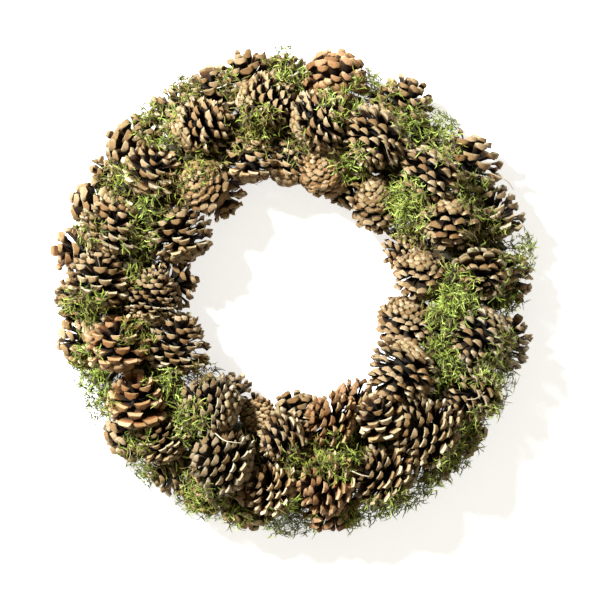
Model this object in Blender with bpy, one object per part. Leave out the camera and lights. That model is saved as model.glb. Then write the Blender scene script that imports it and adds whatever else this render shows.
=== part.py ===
"""Pinecone wreath: a straw ring wound with wire, bedded in moss and covered with open pinecones.

It lies flat on its back, +Z towards the viewer, in metres. A place on the ring is given by its
bearing, the angle round the ring from +X, and its roll, the angle round the straw tube from
straight outwards (0 degrees) over the front (90 degrees) to the side of the hole (180 degrees).

Every cone and tuft is star-shaped: each of its points lies straight out from the piece's own
centre. Where two neighbours would cross, both are pressed flat against a plane between them.
"""
import math
import random

import bmesh
import bpy
import numpy as np
from mathutils import Matrix, Vector

# The ring
RING_RADIUS = 0.159
TUBE_RADIUS = 0.017
TUBE_HEIGHT = 0.0155
STRAW_STATIONS = 32
STRAW_SECTION_POINTS = 9
NOTCH_WIDTH = 0.0045
NOTCH_DEPTH = 0.0018

# The binding wire, which crosses under the ring in the notches
WIRE_TURNS = 6
WIRE_LOOP_RADIUS = 0.0186
WIRE_RADIUS = 0.0004
WIRE_POINTS_PER_TURN = 12
WIRE_CROSSING_HEIGHT = 0.0010

# The moss bed, a sleeve that is open underneath
SECTORS = 8
BED_INNER_RADIUS = 0.0212
BED_OUTER_RADIUS = 0.0242
BED_STEPS = 4
BED_SECTION_POINTS = 7
BED_ROLL_START = -34.0
BED_ROLL_END = 214.0
SECTOR_START = 9.5

# Clearances
GAP = 0.0003
FLOOR_CLEARANCE = 0.0010
CONCAVE_SEAT_ALLOWANCE = 0.0009
FUSED_OVERLAP = 0.0030
MINIMUM_RADIUS = 0.0035

# The scales of a cone, in rows from its stalk end to its tip
SCALES_PER_ROW = 6
ROW_ELEVATIONS = (-52.0, -20.0, 10.0, 38.0, 63.0)
TIP_SHARE = 0.82
TIP_HALF_ANGLE = 0.31
CORE_SHARE = 0.60
CENTRE_SHARE = 0.40
SCALE_SPREAD = 1.26
LENGTH_SPREAD = 1.10
SEAT_SINK = 0.0030
SEAT_ROUNDS = 6
ROLL_LIMITS = (12.0, 172.0)

# Cones: bearing, distance of the middle from the ring's centre, heading of the tip in the plane
# of the ring, rise of the tip towards the viewer, length, width; the open scales stand out further
FRONT_CONES = {
    "front_01": (99, 0.181, -5, 10, 0.054, 0.044),
    "front_02": (82, 0.162, 20, 5, 0.054, 0.048),
    "front_03": (62, 0.165, 230, 5, 0.055, 0.050),
    "front_04": (41, 0.169, 235, 0, 0.050, 0.048),
    "front_05": (25, 0.161, 270, -20, 0.048, 0.044),
    "front_06": (6, 0.179, 270, 30, 0.046, 0.042),
    "front_07": (347, 0.182, 230, 10, 0.054, 0.046),
    "front_08": (331, 0.196, 210, 20, 0.052, 0.044),
    "front_09": (314, 0.184, 195, 5, 0.062, 0.050),
    "front_10": (296, 0.195, 160, 10, 0.054, 0.050),
    "front_11": (280, 0.182, 175, 10, 0.052, 0.048),
    "front_12": (264, 0.188, 150, 20, 0.046, 0.044),
    "front_13": (248, 0.173, 150, 0, 0.056, 0.052),
    "front_14": (229, 0.187, 120, 15, 0.042, 0.040),
    "front_15": (215, 0.180, 90, 30, 0.050, 0.046),
    "front_16": (197, 0.174, 90, 15, 0.050, 0.048),
    "front_17": (177, 0.184, 85, 10, 0.054, 0.046),
    "front_18": (161, 0.182, 60, 5, 0.052, 0.046),
    "front_19": (140, 0.176, 60, 30, 0.048, 0.046),
    "front_20": (120, 0.180, 20, 5, 0.054, 0.046),
}
INNER_CONES = {
    "inner_01": (76, 0.119, 300, -50, 0.048, 0.042),
    "inner_02": (48, 0.116, 280, -40, 0.056, 0.040),
    "inner_03": (21, 0.104, 250, -60, 0.036, 0.034),
    "inner_04": (8, 0.121, 270, -25, 0.044, 0.042),
    "inner_05": (345, 0.111, 260, -25, 0.052, 0.046),
    "inner_06": (324, 0.127, 240, 10, 0.058, 0.052),
    "inner_07": (305, 0.145, 200, 30, 0.044, 0.040),
    "inner_08": (287, 0.127, 160, 5, 0.048, 0.044),
    "inner_09": (266, 0.137, 200, 10, 0.042, 0.040),
    "inner_10": (253, 0.121, 100, -50, 0.042, 0.030),
    "inner_11": (235, 0.132, 170, -5, 0.054, 0.050),
    "inner_12": (205, 0.122, 80, 5, 0.058, 0.048),
    "inner_13": (183, 0.134, 85, 0, 0.054, 0.040),
    "inner_14": (154, 0.120, 105, 0, 0.054, 0.050),
    "inner_15": (131, 0.134, 320, -50, 0.048, 0.044),
    "inner_16": (108, 0.131, 0, -10, 0.046, 0.040),
    "inner_17": (92, 0.121, 300, -20, 0.046, 0.038),
}

# The outer row points outwards: bearing, length, width
OUTER_REACH = 0.204
OUTER_CONES = {
    "outer_01": (4, 0.046, 0.040),
    "outer_02": (21, 0.050, 0.044),
    "outer_03": (36, 0.052, 0.046),
    "outer_04": (60, 0.050, 0.046),
    "outer_05": (79, 0.052, 0.048),
    "outer_06": (92, 0.044, 0.038),
    "outer_07": (102, 0.048, 0.042),
    "outer_08": (112, 0.048, 0.042),
    "outer_09": (123, 0.048, 0.042),
    "outer_10": (137, 0.052, 0.044),
    "outer_11": (147, 0.044, 0.040),
    "outer_12": (156, 0.048, 0.042),
    "outer_13": (169, 0.050, 0.044),
    "outer_14": (182, 0.046, 0.040),
    "outer_15": (193, 0.048, 0.042),
    "outer_16": (221, 0.046, 0.042),
    "outer_17": (236, 0.046, 0.040),
    "outer_18": (246, 0.048, 0.042),
    "outer_19": (258, 0.050, 0.044),
    "outer_20": (280, 0.050, 0.044),
    "outer_21": (310, 0.048, 0.042),
    "outer_22": (320, 0.048, 0.042),
    "outer_23": (346, 0.050, 0.046),
}

# The low row points into the hole: bearing, length, width
LOW_REACH = 0.118
LOW_CONES = {
    "low_01": (127, 0.040, 0.036),
    "low_02": (62, 0.040, 0.036),
    "low_03": (240, 0.040, 0.036),
    "low_04": (272, 0.040, 0.036),
    "low_05": (299, 0.040, 0.036),
    "low_06": (177, 0.040, 0.036),
}
ROW_TILT = -6.0

# Cones that press hard on each other, in pairs that share a node
PAIRS = (
    ("front_01", "outer_07"), ("front_07", "outer_23"), ("front_09", "outer_21"),
    ("front_11", "outer_20"), ("front_12", "outer_19"), ("front_17", "outer_14"),
    ("front_20", "outer_09"), ("outer_11", "outer_12"), ("inner_01", "inner_17"),
    ("inner_02", "low_02"), ("inner_03", "inner_04"), ("inner_08", "low_05"),
    ("inner_09", "low_04"), ("inner_11", "low_03"), ("inner_13", "low_06"),
    ("inner_15", "low_01"),
)

# Tufts of moss: bearing, roll, half width, height above the bed
TUFTS = (
    (118, 24, 0.016, 0.038), (129, 60, 0.018, 0.030), (148, 45, 0.016, 0.034), (127, 92, 0.018, 0.035),
    (141, 110, 0.017, 0.033), (151, 95, 0.020, 0.037), (162, 98, 0.017, 0.035), (163, 18, 0.016, 0.036),
    (170, 92, 0.015, 0.030), (184, 30, 0.019, 0.038), (193, 100, 0.020, 0.035), (203, 18, 0.016, 0.034),
    (210, 20, 0.018, 0.038), (217, 104, 0.018, 0.033), (231, 98, 0.020, 0.037), (224, 45, 0.015, 0.032),
    (232, 20, 0.015, 0.034), (238, 62, 0.015, 0.026), (251, 22, 0.016, 0.036), (269, 20, 0.022, 0.036),
    (270, 96, 0.017, 0.030), (286, 95, 0.025, 0.035), (291, 20, 0.019, 0.036), (299, 22, 0.018, 0.036),
    (305, 40, 0.015, 0.030), (315, 92, 0.017, 0.030), (338, 62, 0.019, 0.032), (333, 88, 0.018, 0.035),
    (353, 98, 0.031, 0.043), (5, 92, 0.020, 0.035), (358, 32, 0.016, 0.034), (12, 22, 0.020, 0.034),
    (16, 55, 0.016, 0.030), (28, 45, 0.016, 0.030), (39, 108, 0.027, 0.040), (66, 108, 0.020, 0.033),
    (104, 92, 0.022, 0.037), (92, 32, 0.022, 0.034), (74, 55, 0.018, 0.030), (50, 35, 0.022, 0.036),
    (88, 100, 0.017, 0.030), (340, 110, 0.018, 0.033), (253, 92, 0.017, 0.030),
)
TUFT_CORE_SHARE = 0.70
TUFT_SPIKE_SHARE = (0.95, 1.25)
TUFT_CENTRE_SHARE = 0.42
TUFT_ROOT_SHARE = 0.85
SPIKED_FROM = -0.25
TUFT_ROOT_RADIUS = 0.0219
TUFT_YIELD = 0.92
SCRAP_POINTS = 30

CONE_COLOURS = ((0.30, 0.19, 0.11), (0.36, 0.25, 0.16), (0.27, 0.22, 0.17), (0.38, 0.21, 0.10))
STRAW_COLOUR = (0.55, 0.43, 0.22)
WIRE_COLOUR = (0.12, 0.16, 0.10)
MOSS_COLOURS = ((0.24, 0.30, 0.06), (0.16, 0.27, 0.05))


def clear_scene():
    for item in list(bpy.data.objects):
        bpy.data.objects.remove(item, do_unlink=True)


def material(name, colour, roughness, metallic=0.0):
    made = bpy.data.materials.new(name)
    made.use_nodes = True
    shader = made.node_tree.nodes["Principled BSDF"]
    shader.inputs["Base Color"].default_value = (*colour, 1.0)
    shader.inputs["Roughness"].default_value = roughness
    shader.inputs["Metallic"].default_value = metallic
    made.diffuse_color = (*colour, 1.0)
    return made


def make_object(name, points, faces, look=None):
    mesh = bpy.data.meshes.new(name)
    mesh.from_pydata([tuple(map(float, point)) for point in points], [], faces)
    mesh.update()
    made = bpy.data.objects.new(name, mesh)
    bpy.context.scene.collection.objects.link(made)
    if look:
        mesh.materials.append(look)
    return made


def outward(bearing, roll=0.0):
    """Unit vector away from the middle of the straw tube; angles in degrees."""
    turn = math.radians(bearing)
    rise = math.radians(roll)
    return np.array((math.cos(rise) * math.cos(turn), math.cos(rise) * math.sin(turn), math.sin(rise)))


def tube_middle(bearing):
    return RING_RADIUS * outward(bearing) + np.array((0.0, 0.0, TUBE_HEIGHT))


def ring_place(bearing, roll, distance):
    return tube_middle(bearing) + distance * outward(bearing, roll)


def place_on_ring(point):
    """Bearing, roll and distance from the middle of the tube, of any point."""
    bearing = math.degrees(math.atan2(point[1], point[0]))
    across = math.hypot(point[0], point[1]) - RING_RADIUS
    rise = point[2] - TUBE_HEIGHT
    return bearing, math.degrees(math.atan2(rise, across)), math.hypot(across, rise)


# The straw ring and its wire

def straw_section():
    """Round tube with a flat underside, as outward distance and height, from flat edge to flat edge."""
    start = math.degrees(math.asin(-TUBE_HEIGHT / TUBE_RADIUS))
    turn = (180.0 - 2.0 * start) / (STRAW_SECTION_POINTS - 1)
    section = []
    for index in range(STRAW_SECTION_POINTS):
        roll = math.radians(start + turn * index)
        section.append((TUBE_RADIUS * math.cos(roll), TUBE_HEIGHT + TUBE_RADIUS * math.sin(roll)))
    section[0] = (section[0][0], 0.0)
    section[-1] = (section[-1][0], 0.0)
    return section


def closed_tube_faces(rings, sides):
    faces = []
    for ring in range(rings):
        after = (ring + 1) % rings
        for side in range(sides):
            beside = (side + 1) % sides
            faces.append((ring * sides + side, ring * sides + beside,
                          after * sides + beside, after * sides + side))
    return faces


def notch_cutter():
    """One box for each place where the wire crosses under the ring, joined in one mesh."""
    mesh = bmesh.new()
    for turn in range(WIRE_TURNS):
        bearing = 360.0 * (turn + 0.5) / WIRE_TURNS
        middle = RING_RADIUS * outward(bearing)
        place = Matrix.Translation(Vector(middle)) @ Matrix.Rotation(math.radians(bearing), 4, "Z")
        size = Matrix.Diagonal((4.0 * TUBE_RADIUS, NOTCH_WIDTH, 2.0 * NOTCH_DEPTH, 1.0))
        bmesh.ops.create_cube(mesh, size=1.0, matrix=place @ size)
    data = bpy.data.meshes.new("notch_cutter")
    mesh.to_mesh(data)
    mesh.free()
    cutter = bpy.data.objects.new("notch_cutter", data)
    bpy.context.scene.collection.objects.link(cutter)
    return cutter


def straw_ring():
    section = straw_section()
    points = []
    for station in range(STRAW_STATIONS):
        direction = outward(360.0 * station / STRAW_STATIONS)
        for across, height in section:
            points.append((RING_RADIUS + across) * direction + np.array((0.0, 0.0, height)))
    look = material("straw", STRAW_COLOUR, 0.85)
    ring = make_object("straw_ring", points, closed_tube_faces(STRAW_STATIONS, len(section)), look)
    combine(ring, [notch_cutter()], "DIFFERENCE", "EXACT")
    return ring


def wire_route():
    """The wire steps along the ring over the straw and goes straight across below it."""
    route = []
    pitch = 360.0 / WIRE_TURNS
    over = WIRE_POINTS_PER_TURN - 3
    for turn in range(WIRE_TURNS):
        crossing = (turn + 0.5) * pitch
        for roll in (-120.0, -90.0, -60.0):
            place = ring_place(crossing, roll, WIRE_LOOP_RADIUS)
            place[2] = max(place[2], WIRE_CROSSING_HEIGHT)
            route.append(place)
        for step in range(over):
            roll = -30.0 + 240.0 * step / (over - 1)
            bearing = crossing + pitch * (step + 1) / (over + 1)
            route.append(ring_place(bearing, roll, WIRE_LOOP_RADIUS))
    return route


def binding_wire():
    route = wire_route()
    sides = 3
    points = []
    for index, place in enumerate(route):
        along = route[(index + 1) % len(route)] - route[index - 1]
        along = along / np.linalg.norm(along)
        bearing, roll, _ = place_on_ring(place)
        out = outward(bearing, roll)
        out = out - along * out.dot(along)
        out = out / np.linalg.norm(out)
        beside = np.cross(along, out)
        for side in range(sides):
            angle = 2.0 * math.pi * (side + 0.5) / sides
            points.append(place + WIRE_RADIUS * (math.cos(angle) * out + math.sin(angle) * beside))
    look = material("wire", WIRE_COLOUR, 0.45, 1.0)
    return make_object("binding_wire", points, closed_tube_faces(len(route), sides), look)


# Star-shaped pieces, and how neighbours press on each other

class Star:
    """A piece whose points are kept as offsets from its own centre."""

    def __init__(self, name, centre, offsets, faces, soft=False):
        self.name = name
        self.centre = np.array(centre)
        self.offsets = np.array(offsets)
        self.faces = faces
        self.soft = soft
        self.planes = []

    def reach(self, direction):
        return float((self.offsets @ direction).max())

    def press(self):
        """Pull each point straight back towards the centre until it is behind every plane."""
        shares = np.ones(len(self.offsets))
        for normal, limit in self.planes:
            beyond = self.offsets @ normal
            crossing = beyond > limit
            shares[crossing] = np.minimum(shares[crossing], limit / beyond[crossing])
        self.offsets = self.offsets * shares[:, None]

    def points(self):
        return self.centre + self.offsets


def part_neighbours(first, second, fused):
    """Set the plane between two pieces; soft moss gives way to a cone."""
    between = second.centre - first.centre
    distance = float(np.linalg.norm(between))
    direction = between / distance
    reach_first = first.reach(direction)
    reach_second = second.reach(-direction)
    crossing = reach_first + reach_second - distance
    if crossing <= -GAP:
        return
    share = 0.5
    if first.soft != second.soft:
        share = TUFT_YIELD if first.soft else 1.0 - TUFT_YIELD
    place = reach_first - crossing * share
    place = min(max(place, MINIMUM_RADIUS), distance - MINIMUM_RADIUS)
    spare = FUSED_OVERLAP if fused else -GAP
    first.planes.append((direction, place + 0.5 * spare))
    second.planes.append((-direction, distance - place + 0.5 * spare))


def bed_reach(roll):
    """How far the many-sided moss bed stands out from the tube's middle in one direction."""
    step = (BED_ROLL_END - BED_ROLL_START) / (BED_SECTION_POINTS - 1)
    corners = [BED_ROLL_START + step * index for index in range(BED_SECTION_POINTS)]
    return BED_OUTER_RADIUS * max(math.cos(math.radians(roll - corner)) for corner in corners)


def seat_planes(piece, seat_radius=None):
    """Keep a piece off the moss bed and the floor; the hole's side is hollow, so it takes more planes."""
    bearing, roll, _ = place_on_ring(piece.centre)
    turns = (0.0,)
    allowance = GAP
    if math.cos(math.radians(roll)) < 0.0:
        turns = (-12.0, -6.0, 0.0, 6.0, 12.0)
        allowance = GAP + CONCAVE_SEAT_ALLOWANCE * abs(math.cos(math.radians(roll)))
    keep_off = seat_radius if seat_radius else bed_reach(roll) + allowance
    for turn in turns:
        normal = outward(bearing + turn, roll)
        height = float((piece.centre - tube_middle(bearing + turn)) @ normal)
        piece.planes.append((-normal, height - keep_off))
    piece.planes.append((np.array((0.0, 0.0, -1.0)), float(piece.centre[2]) - FLOOR_CLEARANCE))


# Cones

def cone_axes(heading, tilt, spin):
    """Axis from the stalk end to the tip, and two directions across it."""
    axis = outward(heading, tilt)
    across = np.cross(axis, (0.0, 0.0, 1.0))
    if np.linalg.norm(across) < 0.1:
        across = np.cross(axis, (0.0, 1.0, 0.0))
    across = across / np.linalg.norm(across)
    third = np.cross(axis, across)
    cosine = math.cos(spin)
    sine = math.sin(spin)
    return axis, cosine * across + sine * third, cosine * third - sine * across


def envelope(elevation, length, width):
    """Distance from the centre to the ovoid round the scales' tips."""
    half = length * ((1.0 - CENTRE_SHARE) if elevation > 0 else CENTRE_SHARE)
    e = math.radians(elevation)
    return 1.0 / math.hypot(math.cos(e) / (0.5 * width), math.sin(e) / half)


def cone_surface(length, width, axes, chance):
    """Rows of wedge-shaped scales: four corners on the core and a blunt tip edge on the ovoid."""
    axis, across, third = axes
    offsets = []
    faces = []

    def add(elevation, step, radius):
        e = math.radians(elevation)
        turn = 2.0 * math.pi * step / SCALES_PER_ROW
        flat = math.cos(turn) * across + math.sin(turn) * third
        offsets.append(radius * (math.sin(e) * axis + math.cos(e) * flat))
        return len(offsets) - 1

    elevations = (-90.0, *ROW_ELEVATIONS, 90.0)
    base = add(-90.0, 0, CORE_SHARE * envelope(-90.0, length, width))
    corners = [[base] * SCALES_PER_ROW]
    for row, elevation in enumerate(ROW_ELEVATIONS):
        radius = CORE_SHARE * envelope(elevation, length, width)
        shift = 0.5 * (row % 2)
        corners.append([add(elevation, place + shift, radius) for place in range(SCALES_PER_ROW)])
    corners.append([add(90.0, 0, 0.8 * envelope(90.0, length, width))] * SCALES_PER_ROW)

    for row in range(1, len(ROW_ELEVATIONS) + 1):
        shift = 0.5 * ((row - 1) % 2)
        rise = elevations[row] + TIP_SHARE * (elevations[row + 1] - elevations[row])
        for place in range(SCALES_PER_ROW):
            middle = place + shift + 0.5
            radius = envelope(rise, length, width) * chance.uniform(0.93, 1.0)
            left = corners[row][place]
            right = corners[row][(place + 1) % SCALES_PER_ROW]
            beside = (place + (1 if shift else 0)) % SCALES_PER_ROW
            below = corners[row - 1][beside]
            above = corners[row + 1][beside]
            if row == len(ROW_ELEVATIONS):
                tip = add(rise, middle, radius)
                faces += [(below, tip, left), (below, right, tip), (above, left, tip), (above, tip, right)]
                continue
            tip_left = add(rise, middle - TIP_HALF_ANGLE, radius)
            tip_right = add(rise, middle + TIP_HALF_ANGLE, radius)
            faces += [(below, tip_left, left), (below, tip_right, tip_left), (below, right, tip_right),
                      (above, left, tip_left), (above, tip_left, tip_right), (above, tip_right, right)]
    return offsets, faces


def cone_star(name, row, chance):
    bearing, reach, heading, tilt, length, width = row
    length *= LENGTH_SPREAD
    width *= SCALE_SPREAD
    axes = cone_axes(heading, tilt, chance.uniform(0.0, 1.0))
    # How far the cone stands off the tube depends on its roll, and its roll on how far it stands off
    roll = 90.0
    for _ in range(SEAT_ROUNDS):
        normal = outward(bearing, roll)
        lean = float(abs(axes[0] @ normal))
        thickness = math.hypot(0.5 * length * lean, 0.5 * width * math.sqrt(1.0 - lean * lean))
        distance = BED_OUTER_RADIUS + thickness - SEAT_SINK
        outwards = max(-1.0, min(1.0, (reach - RING_RADIUS) / distance))
        roll = math.degrees(math.acos(outwards))
        roll = min(max(roll, ROLL_LIMITS[0]), ROLL_LIMITS[1])
    middle = ring_place(bearing, roll, distance)
    centre = middle - (0.5 - CENTRE_SHARE) * length * axes[0]
    offsets, faces = cone_surface(length, width, axes, chance)
    return Star(name, centre, offsets, faces)


def cone_rows():
    rows = dict(FRONT_CONES)
    rows.update(INNER_CONES)
    for name, (bearing, length, width) in OUTER_CONES.items():
        rows[name] = (bearing, OUTER_REACH, bearing, ROW_TILT, length, width)
    for name, (bearing, length, width) in LOW_CONES.items():
        rows[name] = (bearing, LOW_REACH, bearing + 180.0, ROW_TILT, length, width)
    return rows


# Moss

def tuft_star(name, row, chance):
    """A lump with a spike on each face that looks outwards."""
    bearing, roll, half_width, height = row
    normal = outward(bearing, roll)
    along = outward(bearing + 90.0)
    beside = np.cross(normal, along)
    start = bmesh.new()
    bmesh.ops.create_icosphere(start, subdivisions=1, radius=1.0)
    start.verts.ensure_lookup_table()
    ways = [np.array(corner.co) for corner in start.verts]
    sides = [tuple(corner.index for corner in face.verts) for face in start.faces]
    start.free()

    def stretched(way, share):
        depth = height * ((1.0 - TUFT_CENTRE_SHARE) if way[2] > 0.0 else TUFT_ROOT_SHARE)
        return share * (depth * way[2] * normal + half_width * (way[0] * along + way[1] * beside))

    offsets = [stretched(way, TUFT_CORE_SHARE * chance.uniform(0.85, 1.1)) for way in ways]
    faces = []
    for side in sides:
        middle = sum(ways[corner] for corner in side) / 3.0
        middle = middle / np.linalg.norm(middle)
        if middle[2] < SPIKED_FROM:
            faces.append(side)
            continue
        offsets.append(stretched(middle, chance.uniform(*TUFT_SPIKE_SHARE)))
        spike = len(offsets) - 1
        faces += [(side[0], side[1], spike), (side[1], side[2], spike), (side[2], side[0], spike)]
    centre = ring_place(bearing, roll, BED_OUTER_RADIUS + TUFT_CENTRE_SHARE * height)
    return Star(name, centre, offsets, faces, soft=True)


def sector_of(bearing):
    return int(((bearing - SECTOR_START) % 360.0) // (360.0 / SECTORS))


def sector_planes(piece, sector):
    """Keep a tuft between the two ends of its own length of moss."""
    for side, edge in ((-1.0, sector), (1.0, sector + 1)):
        bearing = SECTOR_START + edge * 360.0 / SECTORS
        normal = side * outward(bearing + 90.0)
        piece.planes.append((normal, -float(piece.centre @ normal) - 0.5 * GAP))


def moss_bed(name, sector):
    """A sleeve over the straw, open underneath, one sector long."""
    roll_step = (BED_ROLL_END - BED_ROLL_START) / (BED_SECTION_POINTS - 1)
    rolls = [BED_ROLL_START + roll_step * index for index in range(BED_SECTION_POINTS)]
    section = [(roll, BED_OUTER_RADIUS) for roll in rolls]
    section += [(roll, BED_INNER_RADIUS) for roll in reversed(rolls)]
    end_gap = math.degrees(0.5 * GAP / (RING_RADIUS - BED_OUTER_RADIUS))
    start = SECTOR_START + sector * 360.0 / SECTORS + end_gap
    turn = (360.0 / SECTORS - 2.0 * end_gap) / BED_STEPS
    points = []
    for step in range(BED_STEPS + 1):
        for roll, radius in section:
            points.append(ring_place(start + turn * step, roll, radius))
    count = len(section)
    faces = []
    for step in range(BED_STEPS):
        for side in range(count):
            beside = (side + 1) % count
            faces.append((step * count + side, (step + 1) * count + side,
                          (step + 1) * count + beside, step * count + beside))
    last = BED_STEPS * count
    for index in range(BED_SECTION_POINTS - 1):
        opposite = count - 1 - index
        faces.append((index, index + 1, opposite - 1, opposite))
        faces.append((last + opposite, last + opposite - 1, last + index + 1, last + index))
    return make_object(name, points, faces)


# Joining

def combine(target, others, operation, solver="MANIFOLD"):
    """One Boolean over a collection of the other pieces, applied, and the pieces removed.

    The exact solver loses some of the cones, whose pressed faces lie in one plane.
    """
    group = bpy.data.collections.new(target.name + "_pieces")
    for piece in others:
        group.objects.link(piece)
    cut = target.modifiers.new("combine", "BOOLEAN")
    cut.operation = operation
    cut.operand_type = "COLLECTION"
    cut.collection = group
    cut.solver = solver
    evaluated = target.evaluated_get(bpy.context.evaluated_depsgraph_get())
    joined = bpy.data.meshes.new_from_object(evaluated)
    target.modifiers.clear()
    old = target.data
    target.data = joined
    bpy.data.meshes.remove(old)
    for piece in others:
        bpy.data.objects.remove(piece, do_unlink=True)
    bpy.data.collections.remove(group)
    drop_scraps(target)


def drop_scraps(made):
    """Delete what a union left loose: flakes of a few faces beside the whole piece."""
    mesh = bmesh.new()
    mesh.from_mesh(made.data)
    waiting = set(mesh.verts)
    scraps = []
    while waiting:
        island = [waiting.pop()]
        for corner in island:
            for edge in corner.link_edges:
                other = edge.other_vert(corner)
                if other in waiting:
                    waiting.remove(other)
                    island.append(other)
        if len(island) < SCRAP_POINTS:
            scraps += island
    bmesh.ops.delete(mesh, geom=scraps, context="VERTS")
    mesh.to_mesh(made.data)
    mesh.free()


def shift_to_centre():
    """Put the middle of the whole wreath's box on the origin, seen from the front."""
    corners = []
    for item in bpy.data.objects:
        corners += [corner.co for corner in item.data.vertices]
    middle_x = 0.5 * (min(c.x for c in corners) + max(c.x for c in corners))
    middle_y = 0.5 * (min(c.y for c in corners) + max(c.y for c in corners))
    for item in bpy.data.objects:
        item.data.transform(Matrix.Translation((-middle_x, -middle_y, 0.0)))


def build():
    clear_scene()
    straw_ring()
    binding_wire()

    chance = random.Random(11)
    cones = {name: cone_star(name, row, chance) for name, row in cone_rows().items()}
    tufts = [tuft_star(f"tuft_{number:02d}", row, chance) for number, row in enumerate(TUFTS)]
    sectors = [sector_of(row[0]) for row in TUFTS]
    partner = {}
    for first, second in PAIRS:
        partner[first] = second
        partner[second] = first

    pieces = list(cones.values()) + tufts
    for index, first in enumerate(pieces):
        for second in pieces[index + 1:]:
            part_neighbours(first, second, partner.get(first.name) == second.name)
    for piece in cones.values():
        seat_planes(piece)
    for piece, sector in zip(tufts, sectors):
        seat_planes(piece, TUFT_ROOT_RADIUS)
        sector_planes(piece, sector)
    for piece in pieces:
        piece.press()

    looks = [material(f"cone_{number}", colour, 0.7) for number, colour in enumerate(CONE_COLOURS)]
    made = set()
    for number, (name, cone) in enumerate(cones.items()):
        if name in made:
            continue
        node = make_object("cone_" + name, cone.points(), cone.faces, looks[number % len(looks)])
        made.add(name)
        if name in partner:
            other = cones[partner[name]]
            combine(node, [make_object("other_cone", other.points(), other.faces)], "UNION")
            made.add(other.name)

    moss_looks = [material(f"moss_{number}", colour, 0.9) for number, colour in enumerate(MOSS_COLOURS)]
    for sector in range(SECTORS):
        bed = moss_bed(f"moss_{sector + 1}", sector)
        lumps = [tuft for tuft, own in zip(tufts, sectors) if own == sector]
        combine(bed, [make_object(lump.name, lump.points(), lump.faces) for lump in lumps], "UNION")
        bed.data.materials.clear()
        bed.data.materials.append(moss_looks[sector % 2])

    shift_to_centre()


build()
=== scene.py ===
"""Looks of the pinecone wreath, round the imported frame.

Each cone is laid up scale by scale on a golden-angle spiral. Each length of moss is a rough body
covered with feathered shoots, and more shoots lie in clumps between and over the cones. The straw
ring is a bundle of stalks wound with wire. Sizes are in metres.

A place on the ring is given by its bearing, the angle round the ring from +X, and its roll, the
angle round the straw tube from straight outwards (0) over the front (90) to the hole (180).
"""

import math

import bpy
import numpy as np
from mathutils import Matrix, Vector
from mathutils.bvhtree import BVHTree


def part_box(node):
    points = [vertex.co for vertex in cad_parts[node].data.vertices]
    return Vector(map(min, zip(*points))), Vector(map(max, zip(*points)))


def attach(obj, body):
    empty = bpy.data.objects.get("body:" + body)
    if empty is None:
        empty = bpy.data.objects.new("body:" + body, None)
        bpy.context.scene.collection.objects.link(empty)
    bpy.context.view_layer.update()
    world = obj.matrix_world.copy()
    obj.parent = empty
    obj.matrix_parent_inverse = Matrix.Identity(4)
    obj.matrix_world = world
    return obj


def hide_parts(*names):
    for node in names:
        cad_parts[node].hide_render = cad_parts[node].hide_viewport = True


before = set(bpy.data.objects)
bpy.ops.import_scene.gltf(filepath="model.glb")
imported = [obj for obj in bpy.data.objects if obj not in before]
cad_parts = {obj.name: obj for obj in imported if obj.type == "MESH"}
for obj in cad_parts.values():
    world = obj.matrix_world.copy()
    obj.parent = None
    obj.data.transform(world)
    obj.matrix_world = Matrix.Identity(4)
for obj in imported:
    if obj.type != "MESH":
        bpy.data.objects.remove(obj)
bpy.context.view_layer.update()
bpy.ops.object.select_all(action="DESELECT")

MM = 0.001
chance = np.random.default_rng(4)

# The ring, as in the frame
STRAW_LOW, STRAW_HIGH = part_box("straw_ring")
RING_CENTRE = np.array(((STRAW_LOW.x + STRAW_HIGH.x) / 2, (STRAW_LOW.y + STRAW_HIGH.y) / 2, 0.0))
RING_RADIUS = 0.159
TUBE_RADIUS = 0.017
TUBE_HEIGHT = 0.0155
BED_RADIUS = 0.0242
FLOOR_CLEARANCE = 0.001

# The wire, as in the frame
WIRE_TURNS = 6
WIRE_LOOP_RADIUS = 0.0186
WIRE_RADIUS = 0.0005
WIRE_CROSSING_HEIGHT = 0.0010

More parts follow.
